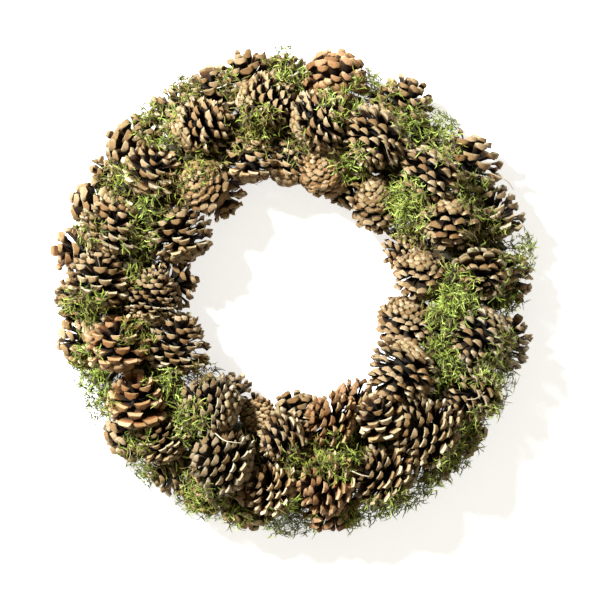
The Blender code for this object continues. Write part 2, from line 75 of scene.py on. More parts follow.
# Cones: bearing, distance of the middle from the ring's centre, heading of the tip in the plane
# of the ring, rise of the tip towards the viewer, length, width; the open scales stand out further
LENGTH_SPREAD = 1.10
WIDTH_SPREAD = 1.26
CENTRE_SHARE = 0.40
SEAT_SINK = 0.0030
SEAT_ROUNDS = 6
ROLL_LIMITS = (12.0, 172.0)
PRESSED_CONES = {
    "front_01": (99, 0.181, -5, 10, 0.054, 0.044),
    "front_02": (82, 0.162, 20, 5, 0.054, 0.048),
    "front_03": (62, 0.165, 230, 5, 0.055, 0.050),
    "front_04": (41, 0.169, 235, 0, 0.050, 0.048),
    "front_05": (25, 0.161, 270, -20, 0.048, 0.044),
    "front_06": (6, 0.179, 270, 30, 0.046, 0.042),
    "front_07": (347, 0.182, 230, 10, 0.054, 0.046),
    "front_08": (331, 0.196, 210, 20, 0.052, 0.044),
    "front_09": (314, 0.184, 195, 5, 0.062, 0.050),
    "front_10": (296, 0.195, 160, 10, 0.054, 0.050),
    "front_11": (280, 0.182, 175, 10, 0.052, 0.048),
    "front_12": (264, 0.188, 150, 20, 0.046, 0.044),
    "front_13": (248, 0.173, 150, 0, 0.056, 0.052),
    "front_14": (229, 0.187, 120, 15, 0.042, 0.040),
    "front_15": (215, 0.180, 90, 30, 0.050, 0.046),
    "front_16": (197, 0.174, 90, 15, 0.050, 0.048),
    "front_17": (177, 0.184, 85, 10, 0.054, 0.046),
    "front_18": (161, 0.182, 60, 5, 0.052, 0.046),
    "front_19": (140, 0.176, 60, 30, 0.048, 0.046),
    "front_20": (120, 0.180, 20, 5, 0.054, 0.046),
    "inner_01": (76, 0.119, 300, -50, 0.048, 0.042),
    "inner_02": (48, 0.116, 280, -40, 0.056, 0.040),
    "inner_03": (21, 0.104, 250, -60, 0.036, 0.034),
    "inner_04": (8, 0.121, 270, -25, 0.044, 0.042),
    "inner_05": (345, 0.111, 260, -25, 0.052, 0.046),
    "inner_06": (324, 0.127, 240, 10, 0.058, 0.052),
    "inner_07": (305, 0.145, 200, 30, 0.044, 0.040),
    "inner_08": (287, 0.127, 160, 5, 0.048, 0.044),
    "inner_09": (266, 0.137, 200, 10, 0.042, 0.040),
    "inner_10": (253, 0.121, 100, -50, 0.042, 0.030),
    "inner_11": (235, 0.132, 170, -5, 0.054, 0.050),
    "inner_12": (205, 0.122, 80, 5, 0.058, 0.048),
    "inner_13": (183, 0.134, 85, 0, 0.054, 0.040),
    "inner_14": (154, 0.120, 105, 0, 0.054, 0.050),
    "inner_15": (131, 0.134, 320, -50, 0.048, 0.044),
    "inner_16": (108, 0.131, 0, -10, 0.046, 0.040),
    "inner_17": (92, 0.121, 300, -20, 0.046, 0.038),
}

# The outer row points outwards: bearing, length, width. The low row points into the hole
OUTER_REACH = 0.204
OUTER_CONES = {
    "outer_01": (4, 0.046, 0.040),
    "outer_02": (21, 0.050, 0.044),
    "outer_03": (36, 0.052, 0.046),
    "outer_04": (60, 0.050, 0.046),
    "outer_05": (79, 0.052, 0.048),
    "outer_06": (92, 0.044, 0.038),
    "outer_07": (102, 0.048, 0.042),
    "outer_08": (112, 0.048, 0.042),
    "outer_09": (123, 0.048, 0.042),
    "outer_10": (137, 0.052, 0.044),
    "outer_11": (147, 0.044, 0.040),
    "outer_12": (156, 0.048, 0.042),
    "outer_13": (169, 0.050, 0.044),
    "outer_14": (182, 0.046, 0.040),
    "outer_15": (193, 0.048, 0.042),
    "outer_16": (221, 0.046, 0.042),
    "outer_17": (236, 0.046, 0.040),
    "outer_18": (246, 0.048, 0.042),
    "outer_19": (258, 0.050, 0.044),
    "outer_20": (280, 0.050, 0.044),
    "outer_21": (310, 0.048, 0.042),
    "outer_22": (320, 0.048, 0.042),
    "outer_23": (346, 0.050, 0.046),
}
LOW_REACH = 0.118
LOW_SIZE = (0.040, 0.036)
LOW_BEARINGS = (127, 62, 240, 272, 299, 177)
ROW_TILT = -6.0

# Cones whose scales turn about another axis than the frame's cone: heading and rise of the tip
TURNED_CONES = {
    "inner_07": (112, 24), "front_09": (160, 8), "front_10": (150, 20), "inner_16": (80, 0),
    "inner_17": (60, -10), "inner_03": (212, -14), "inner_10": (100, -12),
    "outer_01": (290, 15), "outer_02": (112, 10), "outer_03": (75, 5), "outer_05": (70, -35),
    "outer_06": (120, 20), "outer_08": (105, 20), "outer_09": (60, 25), "outer_10": (150, -25),
    "outer_11": (175, 22), "outer_12": (190, -32), "outer_13": (184, 18), "outer_14": (260, 20),
    "outer_15": (225, -28), "outer_16": (240, -35), "outer_17": (205, 18), "outer_18": (222, -20),
    "outer_19": (235, -30), "outer_20": (310, -20), "outer_21": (345, 15), "outer_22": (300, -36),
    "outer_23": (62, 12), "low_01": (290, 8), "low_02": (240, 2), "low_03": (90, 5),
    "low_04": (120, -30), "low_05": (150, -10), "low_06": (20, -10),
}

# The second cone of each pair shares the first one's node
PARTNERS = {
    "front_01": "outer_07", "front_07": "outer_23", "front_09": "outer_21", "front_11": "outer_20",
    "front_12": "outer_19", "front_17": "outer_14", "front_20": "outer_09", "outer_11": "outer_12",
    "inner_01": "inner_17", "inner_02": "low_02", "inner_03": "inner_04", "inner_08": "low_05",
    "inner_09": "low_04", "inner_11": "low_03", "inner_13": "low_06", "inner_15": "low_01",
}

# How far each cone has opened: the elevation, seen from its centre, where its scales let go. Round
# that elevation they go over from closed to open, and from their closed reach to their full one.
OPENS_FROM = -22.0
OPENS_PLAY = 9.0
OPENING_BAND = (-16.0, 14.0)
FILLING_BAND = (-20.0, 16.0)
STILL_CLOSED = {
    "front_01": -8.0, "front_05": -12.0, "front_10": -6.0, "front_12": -4.0, "front_13": -20.0,
    "front_14": -8.0, "front_19": -2.0, "front_20": -4.0, "inner_01": 30.0, "inner_02": 22.0,
    "inner_03": 20.0, "inner_04": -16.0, "inner_05": -12.0, "inner_10": 75.0, "inner_11": -10.0,
    "inner_13": -18.0, "inner_15": 8.0, "inner_16": -20.0,
}

# Closed scales reach less far than open ones, apart from those of a full closed cone
CLOSED_REACH = 0.78
FULL_CLOSED_REACH = 0.95
FULL_WHEN_CLOSED = ("inner_10", "inner_01")

# Cones that keep their whole form where they press against a neighbour
KEPT_WHOLE = ("inner_10",)

# Size of each cone's scales, as a share of the usual; the outer and low rows have coarser ones
COARSE_ROWS = ("outer", "low")
COARSE_SCALE_SIZE = 1.25
SCALE_SIZES = {
    "front_05": 1.12, "front_06": 1.16, "front_13": 0.95, "front_14": 0.86, "front_15": 1.40,
    "front_16": 1.38, "front_17": 1.18, "front_19": 1.12, "inner_05": 0.90, "inner_07": 1.20,
    "inner_11": 0.92, "inner_12": 0.98, "inner_13": 0.74, "inner_14": 1.02, "inner_16": 1.15,
    "inner_17": 1.15, "outer_02": 1.30, "outer_03": 1.45, "outer_04": 1.10, "outer_06": 1.10,
    "outer_11": 1.40, "outer_12": 1.40, "outer_13": 1.50,
}

# Colours of the scales, by finish: the thick end, the seed side and the back; most cones are tan
CONE_COLOURS = {
    "tan": ((0.42, 0.35, 0.232), (0.16, 0.082, 0.034), (0.06, 0.038, 0.019)),
    "chestnut": ((0.44, 0.30, 0.175), (0.25, 0.105, 0.036), (0.08, 0.044, 0.022)),
    "grey": ((0.41, 0.36, 0.26), (0.14, 0.086, 0.046), (0.06, 0.045, 0.030)),
    "pale": ((0.48, 0.385, 0.25), (0.20, 0.095, 0.036), (0.08, 0.050, 0.028)),
}
CONE_TONES = {
    "chestnut": ("front_11", "front_15", "front_16", "outer_05", "inner_08"),
    "grey": ("front_07", "front_13", "inner_11", "outer_07", "outer_02", "outer_22"),
    "pale": ("inner_01", "inner_10", "inner_15", "inner_16", "front_12", "outer_18", "outer_13"),
}

# How far the scales spread past the frame's cone, into the gaps between cones, and how much of that
# is left outwards, towards the hole and upwards
FULLNESS = 1.12
FULLEST = {
    "inner_03": 1.28, "inner_10": 0.98, "low_01": 1.20, "low_02": 1.26, "low_03": 1.20,
    "low_04": 1.20, "low_06": 1.26, "outer_03": 1.20, "outer_07": 1.24,
}
HOLDS = (0.96, 1.0, 0.89)

# The spiral of scales, from the stalk end to the tip, where they are narrower and closer together
GOLDEN_TURN = math.radians(137.508)
POLE_SHARE = 0.008
TIP_HOLLOW = 0.972
OPEN_WIDTH = 0.0102
OPEN_SPACING = 0.0135
OPEN_PITCH = 0.0093
CLOSED_WIDTH = 0.0075
CLOSED_PITCH = 0.0058
TIP_BAND = (30.0, 85.0)
TIP_NARROWING = 0.45
TIP_CROWDING = 0.22
USUAL_CONE_WIDTH = 0.056

# Where the spiral starts, and how far single scales stray from it
FIRST_TURN = (0.0, 6.28)
ELEVATION_PLAY = 1.5
TIP_REACH = (0.90, 1.05)
WIDTH_PLAY = (0.90, 1.12)
RAGGEDNESS = (0.84, 1.16)
CURL = (-0.0015, 0.0030)
SWAY = 0.10
NOD = 0.06

# Where cones press together, scales mesh by the interlock, and the shortest of them are left out
INTERLOCK = 0.0030
MINIMUM_RADIUS = 0.0035
SHORTEST_SHARE = 0.50
STRAIGHT_DOWN = -0.99
BED_TURNS = (-12.0, -6.0, 0.0, 6.0, 12.0)

# The woody core, and the stretch of it that the scales stand on, all in cone widths and lengths
CORE_WIDTH = 0.20
CORE_LENGTH = 0.22
CORE_TONE = 0.3
ROOTS_FROM = -0.24
ROOTS_RUN = 0.52
ROOTS_CROWDING = 1.1

# A scale counts as closed below this openness, and the closed ones are darker
CLOSED_BELOW = 0.25
CLOSED_SHADE = 0.7
SCALE_SHARP_ANGLE = 44.0


# Places on the ring

def outward(bearing, roll=0.0):
    """Unit vector away from the middle of the straw tube; angles in degrees."""
    turn = math.radians(bearing)
    rise = math.radians(roll)
    return np.array((math.cos(rise) * math.cos(turn), math.cos(rise) * math.sin(turn), math.sin(rise)))


def tube_middle(bearing):
    return RING_RADIUS * outward(bearing) + np.array((0.0, 0.0, TUBE_HEIGHT))


def ring_place(bearing, roll, distance):
    return tube_middle(bearing) + distance * outward(bearing, roll)


def unit(vectors):
    return vectors / np.linalg.norm(vectors, axis=-1, keepdims=True)


def eased(value, start, end):
    """0 before start, 1 after end, and a smooth rise between."""
    share = np.clip((value - start) / (end - start), 0.0, 1.0)
    return share * share * (3.0 - 2.0 * share)


# Objects in the scene

def linked(name, data):
    made = bpy.data.objects.new(name, data)
    bpy.context.scene.collection.objects.link(made)
    return made


def pick(*objects):
    """Select the objects, and make the first of them the active one."""
    for each in objects:
        each.select_set(True)
    bpy.context.view_layer.objects.active = objects[0]


def joined(*parts):
    """The parts as one object, with their turns and sizes taken into its points."""
    pick(*parts)
    bpy.ops.object.join()
    bpy.ops.object.transform_apply(location=True, rotation=True, scale=True)
    parts[0].select_set(False)
    return parts[0]


# Shapes that are modelled once and laid many times

FLAT_BAND = 0.2 * MM
# A shape said to be this long is root all along, and so takes the root colour all over, which is partly
# painted shade
ALL_ROOT = 1000.0


class Shape:
    """Points and faces of a modelled shape, with a tint for each point."""

    def __init__(self, made, length):
        mesh = made.data
        self.points = np.array([corner.co for corner in mesh.vertices])
        self.corners = np.array([loop.vertex_index for loop in mesh.loops])
        self.sides = np.array([len(face.vertices) for face in mesh.polygons])
        self.length = length
        along = np.clip(self.points[:, 1] / length, 0.0, 1.0)
        rise = self.points[:, 2]
        upper = 0.5 + 0.5 * np.sign(rise) * (np.abs(rise) > FLAT_BAND)
        self.tint = np.stack((along, upper), axis=1)
        bpy.data.objects.remove(made, do_unlink=True)

    def lay(self, origins, across, ahead, up, sizes, curls):
        """Every copy's points: the shape's X, Y and Z along three directions from each origin.

        curls holds how far the far end of each copy bends along X and along Z, and how far it waves
        from side to side on the way.
        """
        x = self.points[None, :, 0] * sizes[:, 0:1]
        y = self.points[None, :, 1] * sizes[:, 1:2]
        bend = self.tint[None, :, 0] ** 2
        wave = np.sin(2.0 * math.pi * self.tint[None, :, 0])
        x = x + curls[:, 0:1] * bend + curls[:, 2:3] * wave
        z = self.points[None, :, 2] * sizes[:, 2:3] + curls[:, 1:2] * bend
        return (origins[:, None, :] + x[:, :, None] * across[:, None, :]
                + y[:, :, None] * ahead[:, None, :] + z[:, :, None] * up[:, None, :])


class Pile:
    """Copies of shapes, gathered into the one mesh of a piece."""

    def __init__(self):
        self.points = []
        self.corners = []
        self.sides = []
        self.tints = []
        self.total = 0

    def add(self, shape, places, tones):
        """places holds the points of each copy, and tones one value for each copy or point."""
        copies = len(places)
        if copies == 0:
            return
        count = len(shape.points)
        shift = self.total + count * np.arange(copies)
        self.points.append(places.reshape(-1, 3))
        self.corners.append((shape.corners[None, :] + shift[:, None]).ravel())
        self.sides.append(np.tile(shape.sides, copies))
        tones = np.asarray(tones, float)
        if tones.ndim == 1:
            tones = np.repeat(tones[:, None], count, axis=1)
        tint = np.ones((copies, count, 4))
        tint[:, :, 0:2] = shape.tint[None, :, :]
        tint[:, :, 2] = tones
        self.tints.append(tint.reshape(-1, 4))
        self.total += copies * count

    def make(self, name, material, slot, replaced, smooth_angle):
        """One finished piece in place, riding on the wreath's only body."""
        points = np.concatenate(self.points) + RING_CENTRE
        corners = np.concatenate(self.corners)
        sides = np.concatenate(self.sides)
        mesh = bpy.data.meshes.new(name)
        mesh.vertices.add(len(points))
        mesh.vertices.foreach_set("co", points.astype(np.float32).ravel())
        mesh.loops.add(len(corners))
        mesh.loops.foreach_set("vertex_index", corners.astype(np.int32))
        mesh.polygons.add(len(sides))
        starts = np.concatenate(([0], np.cumsum(sides)[:-1]))
        mesh.polygons.foreach_set("loop_start", starts.astype(np.int32))
        mesh.update(calc_edges=True)
        mesh.validate()
        tint = mesh.attributes.new("tint", "FLOAT_COLOR", "POINT")
        tint.data.foreach_set("color", np.concatenate(self.tints).astype(np.float32).ravel())
        mesh.shade_smooth()
        mesh.set_sharp_from_angle(angle=math.radians(smooth_angle))
        mesh.materials.append(material)
        made = linked(name, mesh)
        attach(made, "root")
        if replaced:
            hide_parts(replaced)
        return made


def reshape(made, picked, widen, lift):
    """Spread the picked corners of a root apart and raise them, both in its half widths."""
    for corner in made.data.vertices:
        corner.select = corner.index in picked
    bpy.ops.object.mode_set(mode="EDIT")
    bpy.ops.transform.resize(value=(widen, 1.0, 1.0), center_override=(0.0, 0.0, 0.0))
    bpy.ops.transform.translate(value=(0.0, 0.0, lift * MM))
    bpy.ops.object.mode_set(mode="OBJECT")


def grow(corners, stations, crown, reshaping=()):
    """A stalk grown along +Y from a many-cornered root, one extrusion for each station.

    A station is its distance along Y, rise, half width and half height, in millimetres. The last
    face is poked out by crown to a point. Corner 0 of the root is its lowest.
    """
    ahead, rise, wide, high = stations[0]
    bpy.ops.mesh.primitive_circle_add(
        vertices=corners, radius=MM, fill_type="NGON", location=(0.0, ahead * MM, rise * MM),
        rotation=(math.radians(-90.0), 0.0, 0.0))
    made = bpy.context.active_object
    bpy.ops.object.transform_apply(location=True, rotation=True, scale=True)
    for row in reshaping:
        bpy.ops.object.mode_set(mode="EDIT")
        bpy.ops.mesh.select_all(action="DESELECT")
        bpy.ops.object.mode_set(mode="OBJECT")
        reshape(made, *row)
    bpy.ops.object.mode_set(mode="EDIT")
    bpy.ops.mesh.select_all(action="SELECT")
    bpy.ops.transform.resize(value=(wide, 1.0, high), center_override=(0.0, ahead * MM, rise * MM))
    for next_ahead, next_rise, next_wide, next_high in stations[1:]:
        move = (0.0, (next_ahead - ahead) * MM, (next_rise - rise) * MM)
        bpy.ops.mesh.extrude_region_move(TRANSFORM_OT_translate={"value": move})
        ahead, rise = next_ahead, next_rise
        bpy.ops.transform.resize(value=(next_wide / wide, 1.0, next_high / high),
                                 center_override=(0.0, ahead * MM, rise * MM))
        wide, high = next_wide, next_high
    bpy.ops.mesh.poke(offset=crown * MM)
    bpy.ops.mesh.select_all(action="SELECT")
    bpy.ops.mesh.normals_make_consistent(inside=False)
    bpy.ops.object.mode_set(mode="OBJECT")
    made.select_set(False)
    return made


# Six corners drawn into a half moon, hollow on top: picked corners, widening, lift
HALF_MOON = (((2, 4), 1.25, -0.20), ((3,), 1.0, -0.86), ((1, 5), 0.92, -0.10))
OPEN_SCALE_LENGTH = 0.020
OPEN_SCALE_WIDTH = 0.0141
CLOSED_SCALE_LENGTH = 0.020
CLOSED_SCALE_WIDTH = 0.0080


def open_scale():
    """A dry scale, root first: neck, blade, shoulder, and the rim and cross ridge of its thick end."""
    return Shape(grow(6, (
        (0.0, 0.0, 1.4, 0.9),
        (11.5, 0.3, 4.4, 0.8),
        (15.4, 0.5, 6.5, 1.4),
        (17.6, 0.5, 6.5, 5.6),
        (19.7, 0.1, 4.7, 0.8),
    ), 0.1, HALF_MOON), OPEN_SCALE_LENGTH)


def closed_scale():
    """A scale that never opened, a wedge among others: only its thick end shows, a low cobble."""
    return Shape(grow(5, (
        (0.0, 0.0, 1.0, 0.8),
        (17.4, 0.0, 4.9, 3.5),
        (18.9, -0.1, 3.5, 2.1),
    ), 0.45), CLOSED_SCALE_LENGTH)


def woody_core():
    """The spindle that the scales stand on, one unit in radius."""
    bpy.ops.mesh.primitive_uv_sphere_add(segments=10, ring_count=7, radius=1.0)
    made = bpy.context.active_object
    made.select_set(False)
    return Shape(made, ALL_ROOT)


# Cones

class Cone:
    """Where a cone lies, how far it is spread, and the planes its neighbours press it behind."""

    def __init__(self, name, bearing, reach, heading, tilt, length, width):
        self.name = name
        self.length = length * LENGTH_SPREAD
        self.width = width * WIDTH_SPREAD
        self.bearing = bearing
        self.turn_to(heading, tilt)
        middle = self.seat(reach)
        if name in TURNED_CONES:
            self.turn_to(*TURNED_CONES[name])
        self.centre = middle - (0.5 - CENTRE_SHARE) * self.length * self.axis
        self.planes = []
        self.spiral()

    def turn_to(self, heading, tilt):
        """Point the cone's tip along a heading and a rise."""
        self.axis = outward(heading, tilt)
        self.across = unit(np.cross(self.axis, (0.0, 0.0, 1.0)))
        self.third = np.cross(self.axis, self.across)

    def seat(self, reach):
        """Roll the cone round the moss bed until its middle is at its reach; where the middle lies."""
        self.roll = 90.0
        for _ in range(SEAT_ROUNDS):
            lean = float(abs(self.axis @ outward(self.bearing, self.roll)))
            thickness = math.hypot(0.5 * self.length * lean,
                                   0.5 * self.width * math.sqrt(1.0 - lean * lean))
            distance = BED_RADIUS + thickness - SEAT_SINK
            share = max(-1.0, min(1.0, (reach - RING_RADIUS) / distance))
            self.roll = math.degrees(math.acos(share))
            self.roll = min(max(self.roll, ROLL_LIMITS[0]), ROLL_LIMITS[1])
        return ring_place(self.bearing, self.roll, distance)

    def envelope(self, elevation):
        """Distance from the centre to the ovoid round the open scales' tips."""
        half = self.length * np.where(elevation > 0.0, 1.0 - CENTRE_SHARE, CENTRE_SHARE)
        e = np.radians(elevation)
        fullness = FULLEST.get(self.name, FULLNESS)
        return fullness / np.hypot(np.cos(e) / (0.5 * self.width), np.sin(e) / half)

    def openness_at(self, elevation):
        """How open the scales are, from 0 to 1."""
        low, high = OPENING_BAND
        return eased(elevation, self.opens + low, self.opens + high)

    def tips_at(self, elevation):
        """Distance from the centre to the tips of the scales, closed or open."""
        least = FULL_CLOSED_REACH if self.name in FULL_WHEN_CLOSED else CLOSED_REACH
        low, high = FILLING_BAND
        share = least + (1.0 - least) * eased(elevation, self.opens + low, self.opens + high)
        return share * self.envelope(elevation)

    def climb(self, size):
        """Elevations of the scales: each leaves the room behind it that it takes on the ovoid."""
        elevations = []
        height = -1.0 + POLE_SHARE
        while height < TIP_HOLLOW:
            elevation = math.degrees(math.asin(height))
            elevations.append(elevation)
            openness = float(self.openness_at(elevation))
            wide = size * (CLOSED_WIDTH + openness * (OPEN_SPACING - CLOSED_WIDTH))
            pitch = size * (CLOSED_PITCH + openness * (OPEN_PITCH - CLOSED_PITCH))
            crowding = 1.0 - TIP_CROWDING * float(eased(elevation, *TIP_BAND))
            radius = float(self.tips_at(elevation))
            room = wide * pitch * crowding * crowding
            height += room / (2.0 * math.pi * radius * radius)
        return np.array(elevations)

    def spiral(self):
        """Tips, roots, widths and openness of the scales, from the stalk end to the tip of the cone."""
        self.opens = STILL_CLOSED.get(self.name, OPENS_FROM + chance.uniform(-OPENS_PLAY, OPENS_PLAY))
        usual = COARSE_SCALE_SIZE if self.name.startswith(COARSE_ROWS) else 1.0
        size = SCALE_SIZES.get(self.name, usual) * math.sqrt(self.width / USUAL_CONE_WIDTH)
        elevations = self.climb(size)
        count = len(elevations)
        self.openness = self.openness_at(elevations)
        narrowing = 1.0 - TIP_NARROWING * eased(elevations, *TIP_BAND)
        self.wide = size * narrowing * (CLOSED_WIDTH + self.openness * (OPEN_WIDTH - CLOSED_WIDTH))
        turns = GOLDEN_TURN * np.arange(count) + chance.uniform(*FIRST_TURN)
        flat = (np.cos(turns)[:, None] * self.across[None, :]
                + np.sin(turns)[:, None] * self.third[None, :])
        e = np.radians(elevations + chance.uniform(-ELEVATION_PLAY, ELEVATION_PLAY, count))
        radius = self.tips_at(elevations) * chance.uniform(*TIP_REACH, count)
        self.tips = radius[:, None] * (np.sin(e)[:, None] * self.axis[None, :] + np.cos(e)[:, None] * flat)
        rise = (elevations + 90.0) / 180.0
        root_height = self.length * (ROOTS_FROM + ROOTS_RUN * rise ** ROOTS_CROWDING)
        self.roots = root_height[:, None] * self.axis[None, :]
        self.ragged = chance.uniform(*RAGGEDNESS, count)

    def reach(self, direction):
        return float((self.tips @ direction).max())

    def press(self):
        """How far each scale may reach, as a share of its own reach."""
        shares = np.ones(len(self.tips))
        for normal, limit in self.planes:
            beyond = self.tips @ normal
            # What lies straight below holds all scales alike, and a neighbour holds them raggedly
            limits = limit * (self.ragged if normal[2] > STRAIGHT_DOWN else np.ones(len(shares)))
            crossing = beyond > limits
            shares[crossing] = np.minimum(shares[crossing], limits[crossing] / beyond[crossing])
        return shares


def cone_rows():
    rows = dict(PRESSED_CONES)
    for name, (bearing, length, width) in OUTER_CONES.items():
        rows[name] = (bearing, OUTER_REACH, bearing, ROW_TILT, length, width)
    for number, bearing in enumerate(LOW_BEARINGS, start=1):
        rows[f"low_{number:02d}"] = (bearing, LOW_REACH, bearing + 180.0, ROW_TILT, *LOW_SIZE)
    return rows


def part_cones(cones):
    """A plane between each two cones that would cross."""
    for index, first in enumerate(cones):
        for second in cones[index + 1:]:
            between = second.centre - first.centre
            distance = float(np.linalg.norm(between))
            direction = between / distance
            reach_first = first.reach(direction)
            crossing = reach_first + second.reach(-direction) - distance
            if crossing <= 0.0:
                continue
            # Each gives way by half, unless one of them keeps its form
            give = 0.5 + 0.5 * (second.name in KEPT_WHOLE) - 0.5 * (first.name in KEPT_WHOLE)
            place = reach_first - give * crossing
            place = min(max(place, MINIMUM_RADIUS), distance - MINIMUM_RADIUS)
            first.planes.append((direction, place + INTERLOCK))
            second.planes.append((-direction, distance - place + INTERLOCK))


def seat_cone(cone):
    """Keep a cone's scales out of the moss bed, off the floor and within the frame's outline."""
    away = outward(cone.bearing)
    for normal, hold in zip((away, -away, outward(0.0, 90.0)), HOLDS):
        cone.planes.append((normal, cone.reach(normal) * hold))
    # Towards the hole the bed curves round the cone, so it is met at more than one bearing
    towards_hole = math.cos(math.radians(cone.roll)) < 0.0
    for turn in BED_TURNS if towards_hole else (0.0,):
        normal = outward(cone.bearing + turn, cone.roll)
        height = float((cone.centre - tube_middle(cone.bearing + turn)) @ normal)
        cone.planes.append((-normal, height - BED_RADIUS))
    cone.planes.append((np.array((0.0, 0.0, -1.0)), float(cone.centre[2]) - FLOOR_CLEARANCE))


def lay_scales(pile, cone, shapes):
    """Lay one cone's scales, the closed ones round its stalk end and the open ones above."""
    opened, closed, core = shapes
    shares = cone.press()
    kept = shares > SHORTEST_SHARE
    tips = cone.tips * shares[:, None]
    is_closed = cone.openness < CLOSED_BELOW
    # An open scale stands on the core; a closed one points straight out from the cone's centre
    ahead = np.where(is_closed[:, None], unit(tips), unit(tips - cone.roots))
    lengths = np.linalg.norm(tips - cone.roots, axis=1)
    up = cone.axis[None, :] - (ahead @ cone.axis)[:, None] * ahead
    across = unit(np.cross(ahead, up))
    up = np.cross(across, ahead)
    sway = chance.normal(0.0, SWAY, len(tips))[:, None]
    across, up = unit(across + sway * up), unit(up - sway * across)
    nod = chance.normal(0.0, NOD, len(tips))[:, None]
    ahead, up = unit(ahead + nod * up), unit(up - nod * ahead)
    tones = chance.uniform(0.0, 1.0, len(tips))
    wide = cone.wide * chance.uniform(*WIDTH_PLAY, len(tips))

    some = kept & ~is_closed
    thick = wide[some] / OPEN_SCALE_WIDTH
    sizes = np.stack((thick, lengths[some] / OPEN_SCALE_LENGTH, thick), axis=1)
    curls = np.zeros((int(some.sum()), 3))
    curls[:, 1] = chance.uniform(*CURL, len(curls))
    origins = cone.centre + cone.roots[some]
    places = opened.lay(origins, across[some], ahead[some], up[some], sizes, curls)
    pile.add(opened, places, tones[some])

    some = kept & is_closed
    thick = wide[some] / CLOSED_SCALE_WIDTH
    reaches = np.linalg.norm(tips[some], axis=1)
    sizes = np.stack((thick, reaches / CLOSED_SCALE_LENGTH, thick), axis=1)
    origins = np.repeat(cone.centre[None, :], len(thick), axis=0)
    curls = np.zeros((len(thick), 3))
    places = closed.lay(origins, across[some], ahead[some], up[some], sizes, curls)
    pile.add(closed, places, CLOSED_SHADE * tones[some])

    # The core takes the scales' near-black root colour: partly dark wood, partly painted shade inside the
    # cone
    sizes = np.array(((CORE_WIDTH * cone.width, CORE_LENGTH * cone.length, CORE_WIDTH * cone.width),))
    places = core.lay(cone.centre[None, :], cone.across[None, :], cone.axis[None, :],
                      cone.third[None, :], sizes, np.zeros((1, 3)))
    pile.add(core, places, (CORE_TONE,))


def make_cones():
    """Lay up every cone; the cones, and their finished pieces."""
    materials = {tone: scale_material("scale_" + tone, *colours) for tone, colours in CONE_COLOURS.items()}
    shapes = (open_scale(), closed_scale(), woody_core())
    cones = {name: Cone(name, *row) for name, row in cone_rows().items()}
    part_cones(list(cones.values()))
    for cone in cones.values():
        seat_cone(cone)
    tones = {name: tone for tone, names in CONE_TONES.items() for name in names}
    laid = []
    for name, cone in cones.items():
        if name in PARTNERS.values():
            continue
        pile = Pile()
        lay_scales(pile, cone, shapes)
        if name in PARTNERS:
            lay_scales(pile, cones[PARTNERS[name]], shapes)
        look = materials[tones.get(name, "tan")]
        laid.append(pile.make("pinecone_" + name, look, "pinecone", "cone_" + name, SCALE_SHARP_ANGLE))
    return list(cones.values()), laid


# Moss

